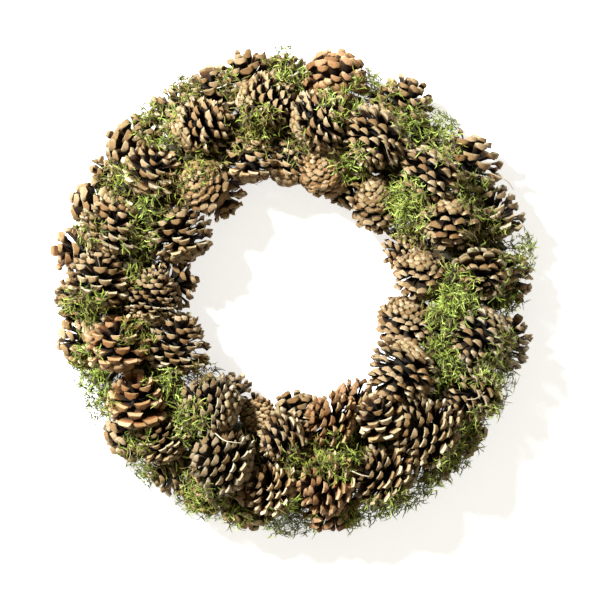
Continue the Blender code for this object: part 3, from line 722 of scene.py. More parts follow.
# Clumps that lie between and over the cones: bearing, distance from the ring's centre, half size,
# and how fresh the moss is, from 0 for brown to 1 for bright green
CLUMPS = (
    (118, 0.216, 0.015, 0.45), (129, 0.203, 0.021, 0.66), (148, 0.197, 0.019, 0.52),
    (125, 0.147, 0.017, 0.55), (139, 0.146, 0.018, 0.38), (151, 0.156, 0.016, 0.90),
    (161, 0.152, 0.015, 0.85), (163, 0.201, 0.015, 0.45), (174, 0.148, 0.012, 0.60),
    (184, 0.198, 0.020, 0.65), (195, 0.150, 0.016, 0.60), (198, 0.206, 0.015, 0.72),
    (204, 0.209, 0.016, 0.76), (210, 0.211, 0.015, 0.70), (216, 0.150, 0.017, 0.80),
    (231, 0.156, 0.019, 0.90), (224, 0.207, 0.015, 0.72), (232, 0.218, 0.013, 0.65),
    (237, 0.198, 0.012, 0.50), (242, 0.215, 0.014, 0.70), (246, 0.213, 0.017, 0.80),
    (252, 0.215, 0.015, 0.70), (268, 0.214, 0.018, 0.80), (271, 0.157, 0.014, 0.55),
    (279, 0.158, 0.015, 0.75), (286, 0.160, 0.021, 0.85), (285, 0.220, 0.012, 0.75),
    (290, 0.219, 0.013, 0.80), (295, 0.220, 0.013, 0.80), (300, 0.220, 0.013, 0.85),
    (305, 0.220, 0.013, 0.80), (310, 0.219, 0.013, 0.85), (315, 0.217, 0.013, 0.80),
    (320, 0.214, 0.014, 0.88), (325, 0.209, 0.012, 0.80), (338, 0.196, 0.016, 0.95),
    (333, 0.165, 0.015, 0.85), (340, 0.147, 0.015, 0.75), (353, 0.143, 0.018, 0.85),
    (356, 0.160, 0.018, 0.90), (3, 0.154, 0.017, 0.82), (358, 0.202, 0.015, 0.80),
    (9, 0.213, 0.016, 0.92), (12, 0.226, 0.010, 0.95), (346, 0.204, 0.014, 0.60),
    (18, 0.188, 0.020, 0.50), (30, 0.194, 0.019, 0.80), (42, 0.138, 0.017, 0.95),
    (35, 0.132, 0.019, 0.95), (30, 0.123, 0.014, 0.80), (66, 0.132, 0.018, 0.80),
    (104, 0.158, 0.024, 0.42), (101, 0.162, 0.017, 0.50), (92, 0.210, 0.020, 0.85),
    (76, 0.183, 0.018, 0.80), (51, 0.199, 0.022, 0.90), (43, 0.196, 0.014, 0.75),
    (58, 0.193, 0.014, 0.70), (107, 0.206, 0.012, 0.50), (89, 0.134, 0.012, 0.55),
    (185, 0.186, 0.012, 0.60), (273, 0.220, 0.013, 0.60), (71, 0.212, 0.013, 0.75),
    (130, 0.222, 0.010, 0.50), (258, 0.218, 0.012, 0.65), (229, 0.224, 0.010, 0.75),
    (338, 0.216, 0.012, 0.90), (331, 0.220, 0.010, 0.80), (302, 0.226, 0.011, 0.85),
    (295, 0.226, 0.010, 0.80), (266, 0.224, 0.010, 0.80), (245, 0.225, 0.009, 0.70),
    (117, 0.223, 0.010, 0.40), (66, 0.204, 0.012, 0.55), (26, 0.130, 0.011, 0.55),
    (38, 0.134, 0.017, 0.90), (221, 0.117, 0.012, 0.35), (47, 0.214, 0.010, 0.80),
    (358, 0.134, 0.011, 0.82), (284, 0.226, 0.009, 0.80), (313, 0.224, 0.010, 0.85),
)
SHOOTS_PER_CLUMP_AREA = 0.126 / MM ** 2
CLUMP_SPREAD = 1.08
CLUMP_MIDDLING = 0.58
LOWEST_CLUMP = 0.012

# Off the cones, a clump's moss hangs out from between them, between these heights
HANGING_HEIGHT = (0.016, 0.054)
HANGING_REACH = 0.072
HANGING_ROLL = 35.0

# Moss on the bed, where no cone covers it, and moss packed between the cones
BED_SHOOTS = 2600
SPOTS_TRIED = 4
BED_INSIDE = 0.0217
LOWEST_SHOOT = 0.003
COVER_HEIGHT = 0.008
COVER_DEPTH = 0.66
COVERED_SHARE = 0.12
PACKED_SPOTS = 6600
PACKED_ROLLS = (-25.0, 205.0)
PACKED_DISTANCES = (0.026, 0.050)
PACKED_DEPTH = 0.74

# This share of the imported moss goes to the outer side, where the edge of the wreath shows
OUTER_SHARE = 0.45
OUTER_ROLLS = (-25.0, 35.0)

# The eight lengths of moss, from the first one's bearing on
SECTORS = 8
SECTOR_START = 9.5

# Shoots and strands: size, how far they curl up, sweep aside and wave, and how far they stand off
SHOOT_LENGTH = 0.013
STRAND_LENGTH = 0.015
SHOOT_SIZES = (0.46, 0.86)
SHOOT_CURL = (-0.0080, 0.0035)
SHOOT_SWEEP = (-0.0075, 0.0075)
SHOOT_WAVE = (-0.0022, 0.0022)
SHOOT_ROLL = 0.15
SHOOT_SINK = 0.5 * MM
SHOOT_REST = 0.4 * MM
LIFT_ON_BED = (0.05, 0.75)
LIFT_PACKED = (-0.3, 0.7)
LIFT_IN_CLUMP = (0.05, 0.60)
LIFT_OF_BED_STRANDS = (0.2, 1.0)
LIFT_OF_GREEN_STRANDS = (0.1, 0.9)
LIFT_OF_BROWN_STRANDS = (0.2, 0.9)

# How much browner than its clump the moss is elsewhere, and how much it varies; the packed moss is browner
# and darker, partly old moss and partly painted shade between the cones
BED_BROWNER = 0.12
BED_VARIES = 0.16
PACKED_BROWNER_AND_SHADED = 0.32
PACKED_VARIES = 0.12
CLUMP_VARIES = 0.18
MATTED_TONE = 0.30

# The matted body: how close points are merged, and the size and rise of its lumps
SEAM_WIDTH = 0.00002
LUMP_SIZE = 0.004
LUMP_RISE = 0.0035

# Strands as a share of the shoots; green ones are a little fresher than their clump
BROWN_STRAND_SHARE = 0.18
BROWN_BED_TONES = (0.0, 0.3)
BROWN_CLUMP_TONES = (0.0, 0.35)
GREEN_STRAND_SHARE = 0.35
GREEN_FRESHER = 0.08
GREEN_VARIES = 0.2
MOSS_SHARP_ANGLE = 60.0

# Side leaves of a shoot, in pairs along its stem, in millimetres and degrees; how far aside and ahead
# of its place each leaf's middle lies is in shares of its reach
LEAF_PAIRS = 2
LEAF_START = 2.0
LEAF_STEP = 3.6
LEAF_STAGGER = 0.9
LEAF_REACH = 3.6
LEAF_SHORTENING = 0.5
LEAF_RADIUS = 0.64
LEAF_ASIDE = 0.32
LEAF_AHEAD = 0.44
LEAF_HEIGHT = 1.5
LEAF_STEPPED = 0.5
LEAF_SPREAD = 42.0
LEAF_DROOP = -72.0


def shoot_shape():
    """A feathered shoot: an arched stem with side leaves in pairs, shorter towards its tip."""
    parts = [grow(3, (
        (0.0, 0.0, 0.55, 0.45),
        (3.4, 1.4, 0.70, 0.58),
        (6.8, 1.8, 0.66, 0.55),
        (10.0, 1.2, 0.52, 0.42),
    ), 2.8)]
    for step in range(LEAF_PAIRS):
        for side in (-1.0, 1.0):
            ahead = (LEAF_START + LEAF_STEP * step + LEAF_STAGGER * side) * MM
            reach = (LEAF_REACH - LEAF_SHORTENING * step) * MM
            bpy.ops.mesh.primitive_cone_add(
                vertices=3, radius1=LEAF_RADIUS * MM, depth=reach, end_fill_type="NGON",
                location=(side * LEAF_ASIDE * reach, ahead + LEAF_AHEAD * reach,
                          (LEAF_HEIGHT + LEAF_STEPPED * side) * MM),
                rotation=(math.radians(LEAF_DROOP), 0.0, math.radians(-side * LEAF_SPREAD)))
            parts.append(bpy.context.active_object)
    return Shape(joined(*parts), SHOOT_LENGTH)


def strand_shape():
    """A bare curled strand of old moss."""
    return Shape(grow(3, (
        (0.0, 0.0, 0.65, 0.55),
        (3.6, 2.0, 0.75, 0.62),
        (7.4, 2.4, 0.70, 0.60),
        (11.0, 1.2, 0.56, 0.50),
    ), 3.0), STRAND_LENGTH)


DROP_HEIGHT = 0.3
UPWARDNESS = 0.6
FAR_OUT = 9.0
TINY = 1e-12


class Ground:
    """What moss clumps and stray stems lie on: the laid cones and the frame's moss as one surface."""

    def __init__(self, laid):
        corners = []
        sides = []
        moss = [node for name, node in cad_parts.items() if name.startswith("moss_")]
        for piece in laid + moss:
            shift = len(corners)
            corners += [tuple(corner.co) for corner in piece.data.vertices]
            sides += [tuple(shift + index for index in face.vertices) for face in piece.data.polygons]
        self.tree = BVHTree.FromPolygons(corners, sides)

    def under(self, across, along):
        """Where a thing dropped on the wreath at this place would land, and the way up from there."""
        start = Vector((across + RING_CENTRE[0], along + RING_CENTRE[1], DROP_HEIGHT))
        place, normal, _, _ = self.tree.ray_cast(start, Vector((0.0, 0.0, -1.0)))
        if place is None:
            return None, None
        return np.array(place) - RING_CENTRE, unit(np.array(normal) + np.array((0.0, 0.0, UPWARDNESS)))


def freshness(places):
    """How green the moss is at each place: that of the nearest clump."""
    middles = np.array([reach * outward(bearing) for bearing, reach, _, _ in CLUMPS])
    fresh = np.array([row[3] for row in CLUMPS])
    far = np.linalg.norm(places[:, None, :2] - middles[None, :, :2], axis=2)
    return fresh[far.argmin(axis=1)]


def sector_of(places):
    bearings = np.degrees(np.arctan2(places[:, 1], places[:, 0]))
    return (((bearings - SECTOR_START) % 360.0) // (360.0 / SECTORS)).astype(int)


def depth_in_cones(places, cones):
    """Share of the way out to the tips of the nearest cone, 1 or more outside all of them."""
    least = np.full(len(places), FAR_OUT)
    for cone in cones:
        away = places - cone.centre
        rise = away @ cone.axis
        far = np.linalg.norm(away, axis=1)
        flat = np.sqrt(np.maximum(far * far - rise * rise, TINY))
        elevation = np.degrees(np.arctan2(rise, flat))
        least = np.minimum(least, far / cone.envelope(elevation))
    return least


def spots_on(node, count, cones):
    """Random places on the outside of a length of moss, where no cone covers it, and the ways out."""
    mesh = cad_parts[node].data
    corners = np.array([corner.co for corner in mesh.vertices]) - RING_CENTRE
    sides = np.array([tuple(face.vertices) for face in mesh.polygons])
    first, second, third = (corners[sides[:, index]] for index in range(3))
    normals = np.cross(second - first, third - first)
    areas = np.linalg.norm(normals, axis=1)
    picked = chance.choice(len(sides), size=SPOTS_TRIED * count, p=areas / areas.sum())
    u = chance.uniform(0.0, 1.0, (len(picked), 1))
    v = chance.uniform(0.0, 1.0, (len(picked), 1))
    folded = u + v > 1.0
    u, v = np.where(folded, 1.0 - u, u), np.where(folded, 1.0 - v, v)
    places = first[picked] + u * (second - first)[picked] + v * (third - first)[picked]
    ways = normals[picked] / areas[picked][:, None]
    across = np.hypot(places[:, 0], places[:, 1]) - RING_RADIUS
    from_tube = np.hypot(across, places[:, 2] - TUBE_HEIGHT)
    outside = (from_tube > BED_INSIDE) & (places[:, 2] > LOWEST_SHOOT)
    covered = depth_in_cones(places + COVER_HEIGHT * ways, cones) < COVER_DEPTH
    kept = outside & (~covered | (chance.uniform(0.0, 1.0, len(places)) < COVERED_SHARE))
    return places[kept][:count], ways[kept][:count]


def spots_in_clump(ground, row):
    """Places where a clump's shoots come down on cones and moss, and the ways up from them."""
    bearing, reach, half, _ = row
    count = int(math.pi * half * half * SHOOTS_PER_CLUMP_AREA)
    middle = reach * outward(bearing)
    places = []
    ways = []
    for _ in range(count):
        turn = chance.uniform(0.0, 2.0 * math.pi)
        far = half * CLUMP_SPREAD * chance.uniform(0.0, 1.0) ** CLUMP_MIDDLING
        spot = middle + far * outward(math.degrees(turn))
        place, way = ground.under(spot[0], spot[1])
        if place is None or place[2] < LOWEST_CLUMP:
            place = spot + np.array((0.0, 0.0, chance.uniform(*HANGING_HEIGHT)))
            way = outward(bearing if reach > RING_RADIUS else bearing + 180.0, HANGING_ROLL)
            if abs(float(np.linalg.norm(place[:2])) - RING_RADIUS) > HANGING_REACH:
                continue
        places.append(place)
        ways.append(way)
    return np.array(places).reshape(-1, 3), np.array(ways).reshape(-1, 3)


def spots_between_cones(count, cones):
    """Places in the gaps among the cones, out past the bed, where moss is packed in."""
    bearings = chance.uniform(0.0, 360.0, count)
    rolls = np.where(chance.uniform(0.0, 1.0, count) < OUTER_SHARE,
                     chance.uniform(*OUTER_ROLLS, count), chance.uniform(*PACKED_ROLLS, count))
    distances = chance.uniform(*PACKED_DISTANCES, count)
    places = np.array([ring_place(*row) for row in zip(bearings, rolls, distances)])
    ways = np.array([outward(*row) for row in zip(bearings, rolls)])
    depth = depth_in_cones(places, cones)
    kept = (depth > PACKED_DEPTH) & (places[:, 2] > LOWEST_SHOOT)
    return places[kept], ways[kept]


def lay_moss(pile, shape, places, ways, lift, tones):
    """Lay shoots from each place, leaning off the surface by lift, with their flat sides outwards."""
    count = len(places)
    if count == 0:
        return
    wander = chance.normal(0.0, 1.0, (count, 3))
    flat = unit(wander - (wander * ways).sum(axis=1)[:, None] * ways)
    ahead = unit(flat + chance.uniform(*lift, count)[:, None] * ways)
    up = ways - (ways * ahead).sum(axis=1)[:, None] * ahead
    up = unit(up + SHOOT_ROLL * chance.normal(0.0, 1.0, (count, 3)))
    across = unit(np.cross(ahead, up))
    up = np.cross(across, ahead)
    sizes = np.repeat(chance.uniform(*SHOOT_SIZES, count)[:, None], 3, axis=1)
    curls = np.stack((chance.uniform(*SHOOT_SWEEP, count), chance.uniform(*SHOOT_CURL, count),
                      chance.uniform(*SHOOT_WAVE, count)), axis=1)
    laid = shape.lay(places - SHOOT_SINK * ways, across, ahead, up, sizes, curls)
    laid[:, :, 2] = np.maximum(laid[:, :, 2], SHOOT_REST)
    pile.add(shape, laid, tones)


def matted_body(node):
    """The matted moss under the shoots: a copy of the node, roughened."""
    made = linked("matted_" + node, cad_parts[node].data.copy())
    pick(made)
    bpy.ops.object.mode_set(mode="EDIT")
    bpy.ops.mesh.select_all(action="SELECT")
    bpy.ops.mesh.remove_doubles(threshold=SEAM_WIDTH)
    bpy.ops.object.mode_set(mode="OBJECT")
    finer = made.modifiers.new("finer", "SUBSURF")
    finer.subdivision_type = "SIMPLE"
    finer.levels = 1
    finer.render_levels = 1
    even = made.modifiers.new("even", "SMOOTH")
    even.factor = 0.5
    even.iterations = 6
    lumps = bpy.data.textures.new("moss_lumps", "CLOUDS")
    lumps.noise_scale = LUMP_SIZE
    rough = made.modifiers.new("rough", "DISPLACE")
    rough.texture = lumps
    rough.strength = LUMP_RISE
    rough.mid_level = 0.6
    for modifier in ("finer", "even", "rough"):
        bpy.ops.object.modifier_apply(modifier=modifier)
    made.select_set(False)
    for corner in made.data.vertices:
        corner.co -= Vector(RING_CENTRE)
    return Shape(made, ALL_ROOT)


def lay_bed(pile, node, kinds, cones):
    """One length's matted body, with shoots and brown strands where no cone covers it."""
    shoot, strand = kinds
    body = matted_body(node)
    # The body is laid as root all along, so the moss colour is darkened most there: painted shade under
    # the shoots, on a brown mat
    pile.add(body, body.points[None, :, :], (MATTED_TONE,))
    places, ways = spots_on(node, BED_SHOOTS // SECTORS, cones)
    fresh = freshness(places) - BED_BROWNER + chance.normal(0.0, BED_VARIES, len(places))
    lay_moss(pile, shoot, places, ways, LIFT_ON_BED, fresh)
    some = chance.uniform(0.0, 1.0, len(places)) < BROWN_STRAND_SHARE
    tones = chance.uniform(*BROWN_BED_TONES, int(some.sum()))
    lay_moss(pile, strand, places[some], ways[some], LIFT_OF_BED_STRANDS, tones)


def lay_packed(piles, shoot, cones):
    """Shoots packed between the cones, all round the ring."""
    places, ways = spots_between_cones(PACKED_SPOTS, cones)
    sectors = sector_of(places)
    for sector, pile in enumerate(piles):
        mine = sectors == sector
        varied = chance.normal(0.0, PACKED_VARIES, int(mine.sum()))
        # Packed moss is browner and darker than its clump: partly old moss, partly painted shade in the
        # gaps between the cones
        fresh = freshness(places[mine]) - PACKED_BROWNER_AND_SHADED + varied
        lay_moss(pile, shoot, places[mine], ways[mine], LIFT_PACKED, fresh)


def lay_clump(piles, kinds, ground, row):
    """A clump's shoots and strands, each in the length of moss whose bearing it lies at."""
    shoot, strand = kinds
    clump_fresh = row[3]
    places, ways = spots_in_clump(ground, row)
    sectors = sector_of(places)
    for sector, pile in enumerate(piles):
        mine = sectors == sector
        fresh = clump_fresh + chance.normal(0.0, CLUMP_VARIES, int(mine.sum()))
        lay_moss(pile, shoot, places[mine], ways[mine], LIFT_IN_CLUMP, fresh)
        some = mine & (chance.uniform(0.0, 1.0, len(places)) < GREEN_STRAND_SHARE)
        tones = clump_fresh + chance.normal(GREEN_FRESHER, GREEN_VARIES, int(some.sum()))
        lay_moss(pile, strand, places[some], ways[some], LIFT_OF_GREEN_STRANDS, tones)
        some = mine & (chance.uniform(0.0, 1.0, len(places)) < BROWN_STRAND_SHARE)
        tones = chance.uniform(*BROWN_CLUMP_TONES, int(some.sum()))
        lay_moss(pile, strand, places[some], ways[some], LIFT_OF_BROWN_STRANDS, tones)


def make_moss(material, cones, ground):
    kinds = (shoot_shape(), strand_shape())
    piles = [Pile() for _ in range(SECTORS)]
    for sector, pile in enumerate(piles):
        lay_bed(pile, f"moss_{sector + 1}", kinds, cones)
    lay_packed(piles, kinds[0], cones)
    for row in CLUMPS:
        lay_clump(piles, kinds, ground, row)
    for sector, pile in enumerate(piles):
        pile.make(f"moss_length_{sector + 1}", material, "moss", f"moss_{sector + 1}", MOSS_SHARP_ANGLE)


# The straw ring, its wire and the stray stems

def strung(name, runs, radius, closed, sides):
    """Round strands along runs of points, each point with a share of the radius."""
    curve = bpy.data.curves.new(name, "CURVE")
    curve.dimensions = "3D"
    curve.bevel_depth = radius
    curve.bevel_resolution = sides
    curve.use_fill_caps = not closed
    for points, shares in runs:
        spline = curve.splines.new("POLY")
        spline.points.add(len(points) - 1)
        for corner, point, share in zip(spline.points, points, shares):
            corner.co = (*(point + RING_CENTRE), 1.0)
            corner.radius = share
        spline.use_cyclic_u = closed
    pick(linked(name, curve))
    bpy.ops.object.convert(target="MESH")
    made = bpy.context.active_object
    bpy.ops.object.mode_set(mode="EDIT")
    bpy.ops.mesh.select_all(action="SELECT")
    bpy.ops.mesh.normals_make_consistent(inside=False)
    bpy.ops.object.mode_set(mode="OBJECT")
    made.data.shade_smooth()
    made.select_set(False)
    return made


STALKS = 46
STALK_RADIUS = 0.0016
STALK_STATIONS = 72
STALK_WANDER = 9.0
STALK_WAVES = (2, 5)
STALK_BULGE = 0.5 * MM
STALK_REST = 1.05 * STALK_RADIUS
STRAW_CORE_RADIUS = 0.0145

# Loose stalks: where they lie, in degrees round and along the tube, and how their ends stand off
LOOSE_STALKS = 36
LOOSE_STATIONS = 9
LOOSE_ROLLS = (-60.0, 240.0)
LOOSE_REACHES = (14.0, 40.0)
LOOSE_TWIST = 8.0
LOOSE_GAP = 0.2 * MM
LOOSE_LIFT = 1.5 * MM
LOOSE_THICKNESS = 0.8


def straw_stalks():
    """Stalks laid side by side round the whole ring, each wandering a little across its neighbours."""
    runs = []
    for stalk in range(STALKS):
        start = 360.0 * stalk / STALKS
        waves = chance.integers(*STALK_WAVES, 2)
        turns = chance.uniform(0.0, 360.0, 2)
        points = []
        for station in range(STALK_STATIONS):
            bearing = 360.0 * station / STALK_STATIONS
            wave = math.sin(math.radians(waves[0] * bearing + turns[0]))
            bulge = math.sin(math.radians(waves[1] * bearing + turns[1]))
            distance = TUBE_RADIUS - STALK_RADIUS + STALK_BULGE * bulge
            place = ring_place(bearing, start + STALK_WANDER * wave, distance)
            place[2] = max(place[2], STALK_REST)
            points.append(place)
        runs.append((points, np.ones(len(points))))
    return runs


def loose_stalks():
    """Shorter stalks on the outside, whose cut ends stand off a little."""
    runs = []
    for _ in range(LOOSE_STALKS):
        bearing = chance.uniform(0.0, 360.0)
        roll = chance.uniform(*LOOSE_ROLLS)
        reach = chance.uniform(*LOOSE_REACHES)
        points = []
        for station in range(LOOSE_STATIONS):
            share = station / (LOOSE_STATIONS - 1)
            distance = TUBE_RADIUS + LOOSE_GAP + LOOSE_LIFT * abs(2.0 * share - 1.0) ** 3
            place = ring_place(bearing + reach * share, roll + LOOSE_TWIST * share, distance)
            place[2] = max(place[2], STALK_REST)
            points.append(place)
        runs.append((points, np.full(len(points), LOOSE_THICKNESS)))
    return runs


def make_straw(material):
    bundle = strung("straw_bundle", straw_stalks(), STALK_RADIUS, closed=True, sides=0)
    loose = strung("straw_ends", loose_stalks(), STALK_RADIUS, closed=False, sides=1)
    middle = RING_CENTRE + np.array((0.0, 0.0, TUBE_HEIGHT))
    bpy.ops.mesh.primitive_torus_add(
        location=middle, major_radius=RING_RADIUS, minor_radius=STRAW_CORE_RADIUS,
        major_segments=96, minor_segments=16)
    bundle = joined(bundle, loose, bpy.context.active_object)
    bundle.data.materials.clear()
    bundle.data.materials.append(material)
    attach(bundle, "root")
    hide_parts("straw_ring")


# Rolls of the wire below the straw and over it, and the share of a turn's step that is taken over it
UNDER_ROLLS = (-120.0, -60.0)
UNDER_STATIONS = 7
OVER_ROLLS = (-45.0, 225.0)
OVER_STATIONS = 40
STEP_TAKEN = (0.03, 0.97)


def make_wire(material):
    """The wire steps along the ring over the straw and goes straight across below it."""
    points = []
    pitch = 360.0 / WIRE_TURNS
    for turn in range(WIRE_TURNS):
        crossing = (turn + 0.5) * pitch
        for roll in np.linspace(*UNDER_ROLLS, UNDER_STATIONS):
            place = ring_place(crossing, roll, WIRE_LOOP_RADIUS)
            place[2] = max(place[2], WIRE_CROSSING_HEIGHT)
            points.append(place)
        steps = np.linspace(*STEP_TAKEN, OVER_STATIONS)
        for step, roll in zip(steps, np.linspace(*OVER_ROLLS, OVER_STATIONS)):
            points.append(ring_place(crossing + pitch * step, roll, WIRE_LOOP_RADIUS))
    runs = [(points, np.ones(len(points)))]
    wire = strung("wire_winding", runs, WIRE_RADIUS, closed=True, sides=2)
    wire.data.materials.append(material)
    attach(wire, "root")
    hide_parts("binding_wire")


# Stray stems, by number: where each starts and ends, by bearing and distance from the ring's
# centre, its thickness, how far it arches up, and how pale it is
STEMS = {
    1: (117, 0.212, 108, 0.206, 0.0006, 0.006, 0.95),
    2: (359, 0.173, 2, 0.199, 0.0010, 0.004, 0.85),
    3: (237, 0.106, 245, 0.112, 0.0010, 0.003, 0.90),
    4: (203, 0.174, 206, 0.201, 0.0008, 0.004, 0.80),
    6: (31, 0.216, 25, 0.228, 0.0005, 0.005, 0.60),
    7: (147, 0.226, 144, 0.206, 0.0004, 0.003, 0.50),
    8: (160, 0.230, 163, 0.212, 0.0005, 0.004, 0.45),
    9: (214, 0.229, 211, 0.212, 0.0005, 0.004, 0.40),
    10: (226, 0.229, 223, 0.212, 0.0005, 0.004, 0.50),
    11: (320, 0.234, 318, 0.214, 0.0005, 0.004, 0.55),
    12: (241, 0.151, 251, 0.148, 0.0006, 0.006, 0.75),
    15: (285, 0.170, 292, 0.186, 0.0008, 0.004, 0.80),
    16: (52, 0.152, 60, 0.166, 0.0007, 0.005, 0.70),
    17: (170, 0.186, 177, 0.170, 0.0007, 0.004, 0.65),
    18: (334, 0.204, 328, 0.190, 0.0007, 0.005, 0.75),
    19: (20, 0.168, 14, 0.180, 0.0006, 0.004, 0.80),
    20: (262, 0.184, 268, 0.200, 0.0006, 0.005, 0.60),
}
STEM_STATIONS = 14
STEM_BEND = 0.12
STEM_KINK = 0.35 * MM
STEM_KINK_WAVE = 9.0
STEM_CLEARANCE = 0.35
STEM_OVERHANG = 0.002
STEM_TAPER = (1.15, 0.55)


def stem_ends(ground, start, start_reach, end, end_reach):
    """Both ends on what lies below; an end past the wreath's edge hangs level with the other."""
    flat = [reach * outward(bearing) for bearing, reach in ((start, start_reach), (end, end_reach))]
    first, last = (ground.under(place[0], place[1])[0] for place in flat)
    if first is None:
        first = np.array((flat[0][0], flat[0][1], last[2] + STEM_OVERHANG))
    if last is None:
        last = np.array((flat[1][0], flat[1][1], first[2] + STEM_OVERHANG))
    return first, last


def make_stems(material, ground):
    """Dry stems and tendrils, each from one place on the wreath to another."""
    for number, (*places, thickness, arch, pale) in STEMS.items():
        first, last = stem_ends(ground, *places)
        beside = unit(np.cross(last - first, (0.0, 0.0, 1.0)))
        bend = chance.uniform(-STEM_BEND, STEM_BEND) * float(np.linalg.norm(last - first))
        points = []
        for share in np.linspace(0.0, 1.0, STEM_STATIONS):
            hump = math.sin(math.pi * share)
            kink = STEM_KINK * math.sin(STEM_KINK_WAVE * share + number - 1)
            place = first + share * (last - first) + (bend * hump + kink) * beside
            place[2] += arch * (STEM_CLEARANCE + hump)
            points.append(place)
        runs = [(points, np.linspace(*STEM_TAPER, STEM_STATIONS))]
        stem = strung(f"stray_stem_{number:02d}", runs, thickness, closed=False, sides=1)
        tint = stem.data.attributes.new("tint", "FLOAT_COLOR", "POINT")
        tint.data.foreach_set("color", np.tile((pale, 0.5, pale, 1.0), len(stem.data.vertices)))
        stem.data.materials.append(material)
        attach(stem, "root")


# Materials

def new_material(name, roughness, metallic=0.0):
    made = bpy.data.materials.new(name)
    made.use_nodes = True
    tree = made.node_tree
    shader = tree.nodes["Principled BSDF"]
    shader.inputs["Roughness"].default_value = roughness
    shader.inputs["Metallic"].default_value = metallic
    return made, tree, shader


def plug(tree, value, socket):
    """Link an output, or set a plain value, on an input."""
    if isinstance(value, bpy.types.NodeSocket):
        tree.links.new(value, socket)
    else:
        socket.default_value = value


def ramp(tree, value, stops):
    """Colours along a value: stops are (position, (red, green, blue))."""
    made = tree.nodes.new("ShaderNodeValToRGB")
    tones = made.color_ramp.elements
    while len(tones) < len(stops):
        tones.new(0.5)
    for tone, (position, colour) in zip(tones, stops):
        tone.position = position
        tone.color = (*colour, 1.0)
    plug(tree, value, made.inputs["Fac"])
    return made.outputs["Color"]


def mix(tree, share, first, second, blend="MIX"):
    made = tree.nodes.new("ShaderNodeMix")
    made.data_type = "RGBA"
    made.blend_type = blend
    plug(tree, share, made.inputs[0])
    plug(tree, first, made.inputs[6])
    plug(tree, second, made.inputs[7])
    return made.outputs[2]


def noise(tree, scale, detail=3.0):
    """Noise on the object's own coordinates; scale counts features in a metre."""
    place = tree.nodes.new("ShaderNodeTexCoord")
    made = tree.nodes.new("ShaderNodeTexNoise")
    made.inputs["Scale"].default_value = scale
    made.inputs["Detail"].default_value = detail
    tree.links.new(place.outputs["Object"], made.inputs["Vector"])
    return made.outputs["Fac"]


def tint_parts(tree):
    """The three parts of a laid shape's tint: along it, upper side, and its own tone."""
    read = tree.nodes.new("ShaderNodeAttribute")
    read.attribute_name = "tint"
    parts = tree.nodes.new("ShaderNodeSeparateColor")
    tree.links.new(read.outputs["Color"], parts.inputs["Color"])
    return parts.outputs["Red"], parts.outputs["Green"], parts.outputs["Blue"]


def bump(tree, shader, height, strength, depth):
    made = tree.nodes.new("ShaderNodeBump")
    made.inputs["Strength"].default_value = strength
    made.inputs["Distance"].default_value = depth
    tree.links.new(height, made.inputs["Height"])
    tree.links.new(made.outputs["Normal"], shader.inputs["Normal"])


def tinged(tree, colour, value, stops):
    """A colour multiplied by the tints along a value."""
    return mix(tree, 1.0, colour, ramp(tree, value, stops), "MULTIPLY")


def finished(made, shader, colour, grain, strength, depth):
    """The material with its colour, and with fine grain raised by a bump."""
    tree = made.node_tree
    plug(tree, colour, shader.inputs["Base Color"])
    bump(tree, shader, noise(tree, *grain), strength, depth)
    return made


# Scales darken towards their roots: partly their own dark brown, partly painted shade in the deep gaps
# between scales
ROOT_DARK_AND_SHADE = (0.008, 0.005, 0.003)
# The lower facet of a scale's thick end, below its cross ridge, is the end colour darkened: painted shade
# on the side turned from the light
KEEL_PAINTED_SHADE = (0.66, 0.52, 0.42)
DIM_AND_SHADED_SHARE = 0.25
SCALE_SPECULAR = 0.25


def scale_material(name, end, face, back):
    """Dry cone scales: dark at the root, partly painted shade; end on the thick tip, its lower facet in
    painted shade; face on the seed side, back below.
    """
    made, tree, shader = new_material(name, roughness=0.80)
    shader.inputs["Specular IOR Level"].default_value = SCALE_SPECULAR
    along, upper, tone = tint_parts(tree)
    face_dark_and_shaded = tuple(DIM_AND_SHADED_SHARE * part for part in face)
    back_dark_and_shaded = tuple(DIM_AND_SHADED_SHARE * part for part in back)
    keel_painted_shade = tuple(shade * part for shade, part in zip(KEEL_PAINTED_SHADE, end))
    # Towards the root both sides fade through a share of their colour to near black: painted shade in the
    # gaps over the real dark root
    seed_side = ramp(tree, along, (
        (0.40, ROOT_DARK_AND_SHADE), (0.66, face_dark_and_shaded), (0.78, face), (0.83, face), (0.88, end), (1.0, end)))
    # On the under side the end colour gives way to the painted shade of the lower facet
    under_side = ramp(tree, along, (
        (0.40, ROOT_DARK_AND_SHADE), (0.72, back_dark_and_shaded), (0.85, back), (0.90, keel_painted_shade), (1.0, keel_painted_shade)))
    colour = mix(tree, upper, under_side, seed_side)
    colour = tinged(tree, colour, noise(tree, 900.0), (
        (0.30, (0.62, 0.58, 0.55)), (0.62, (1.12, 1.10, 1.06))))
    colour = tinged(tree, colour, tone, (
        (0.0, (0.58, 0.45, 0.29)), (0.25, (0.78, 0.71, 0.56)), (0.6, (0.98, 0.98, 0.93)),
        (1.0, (1.24, 1.31, 1.42))))
    return finished(made, shader, colour, grain=(2200.0, 4.0), strength=0.5, depth=0.0004)


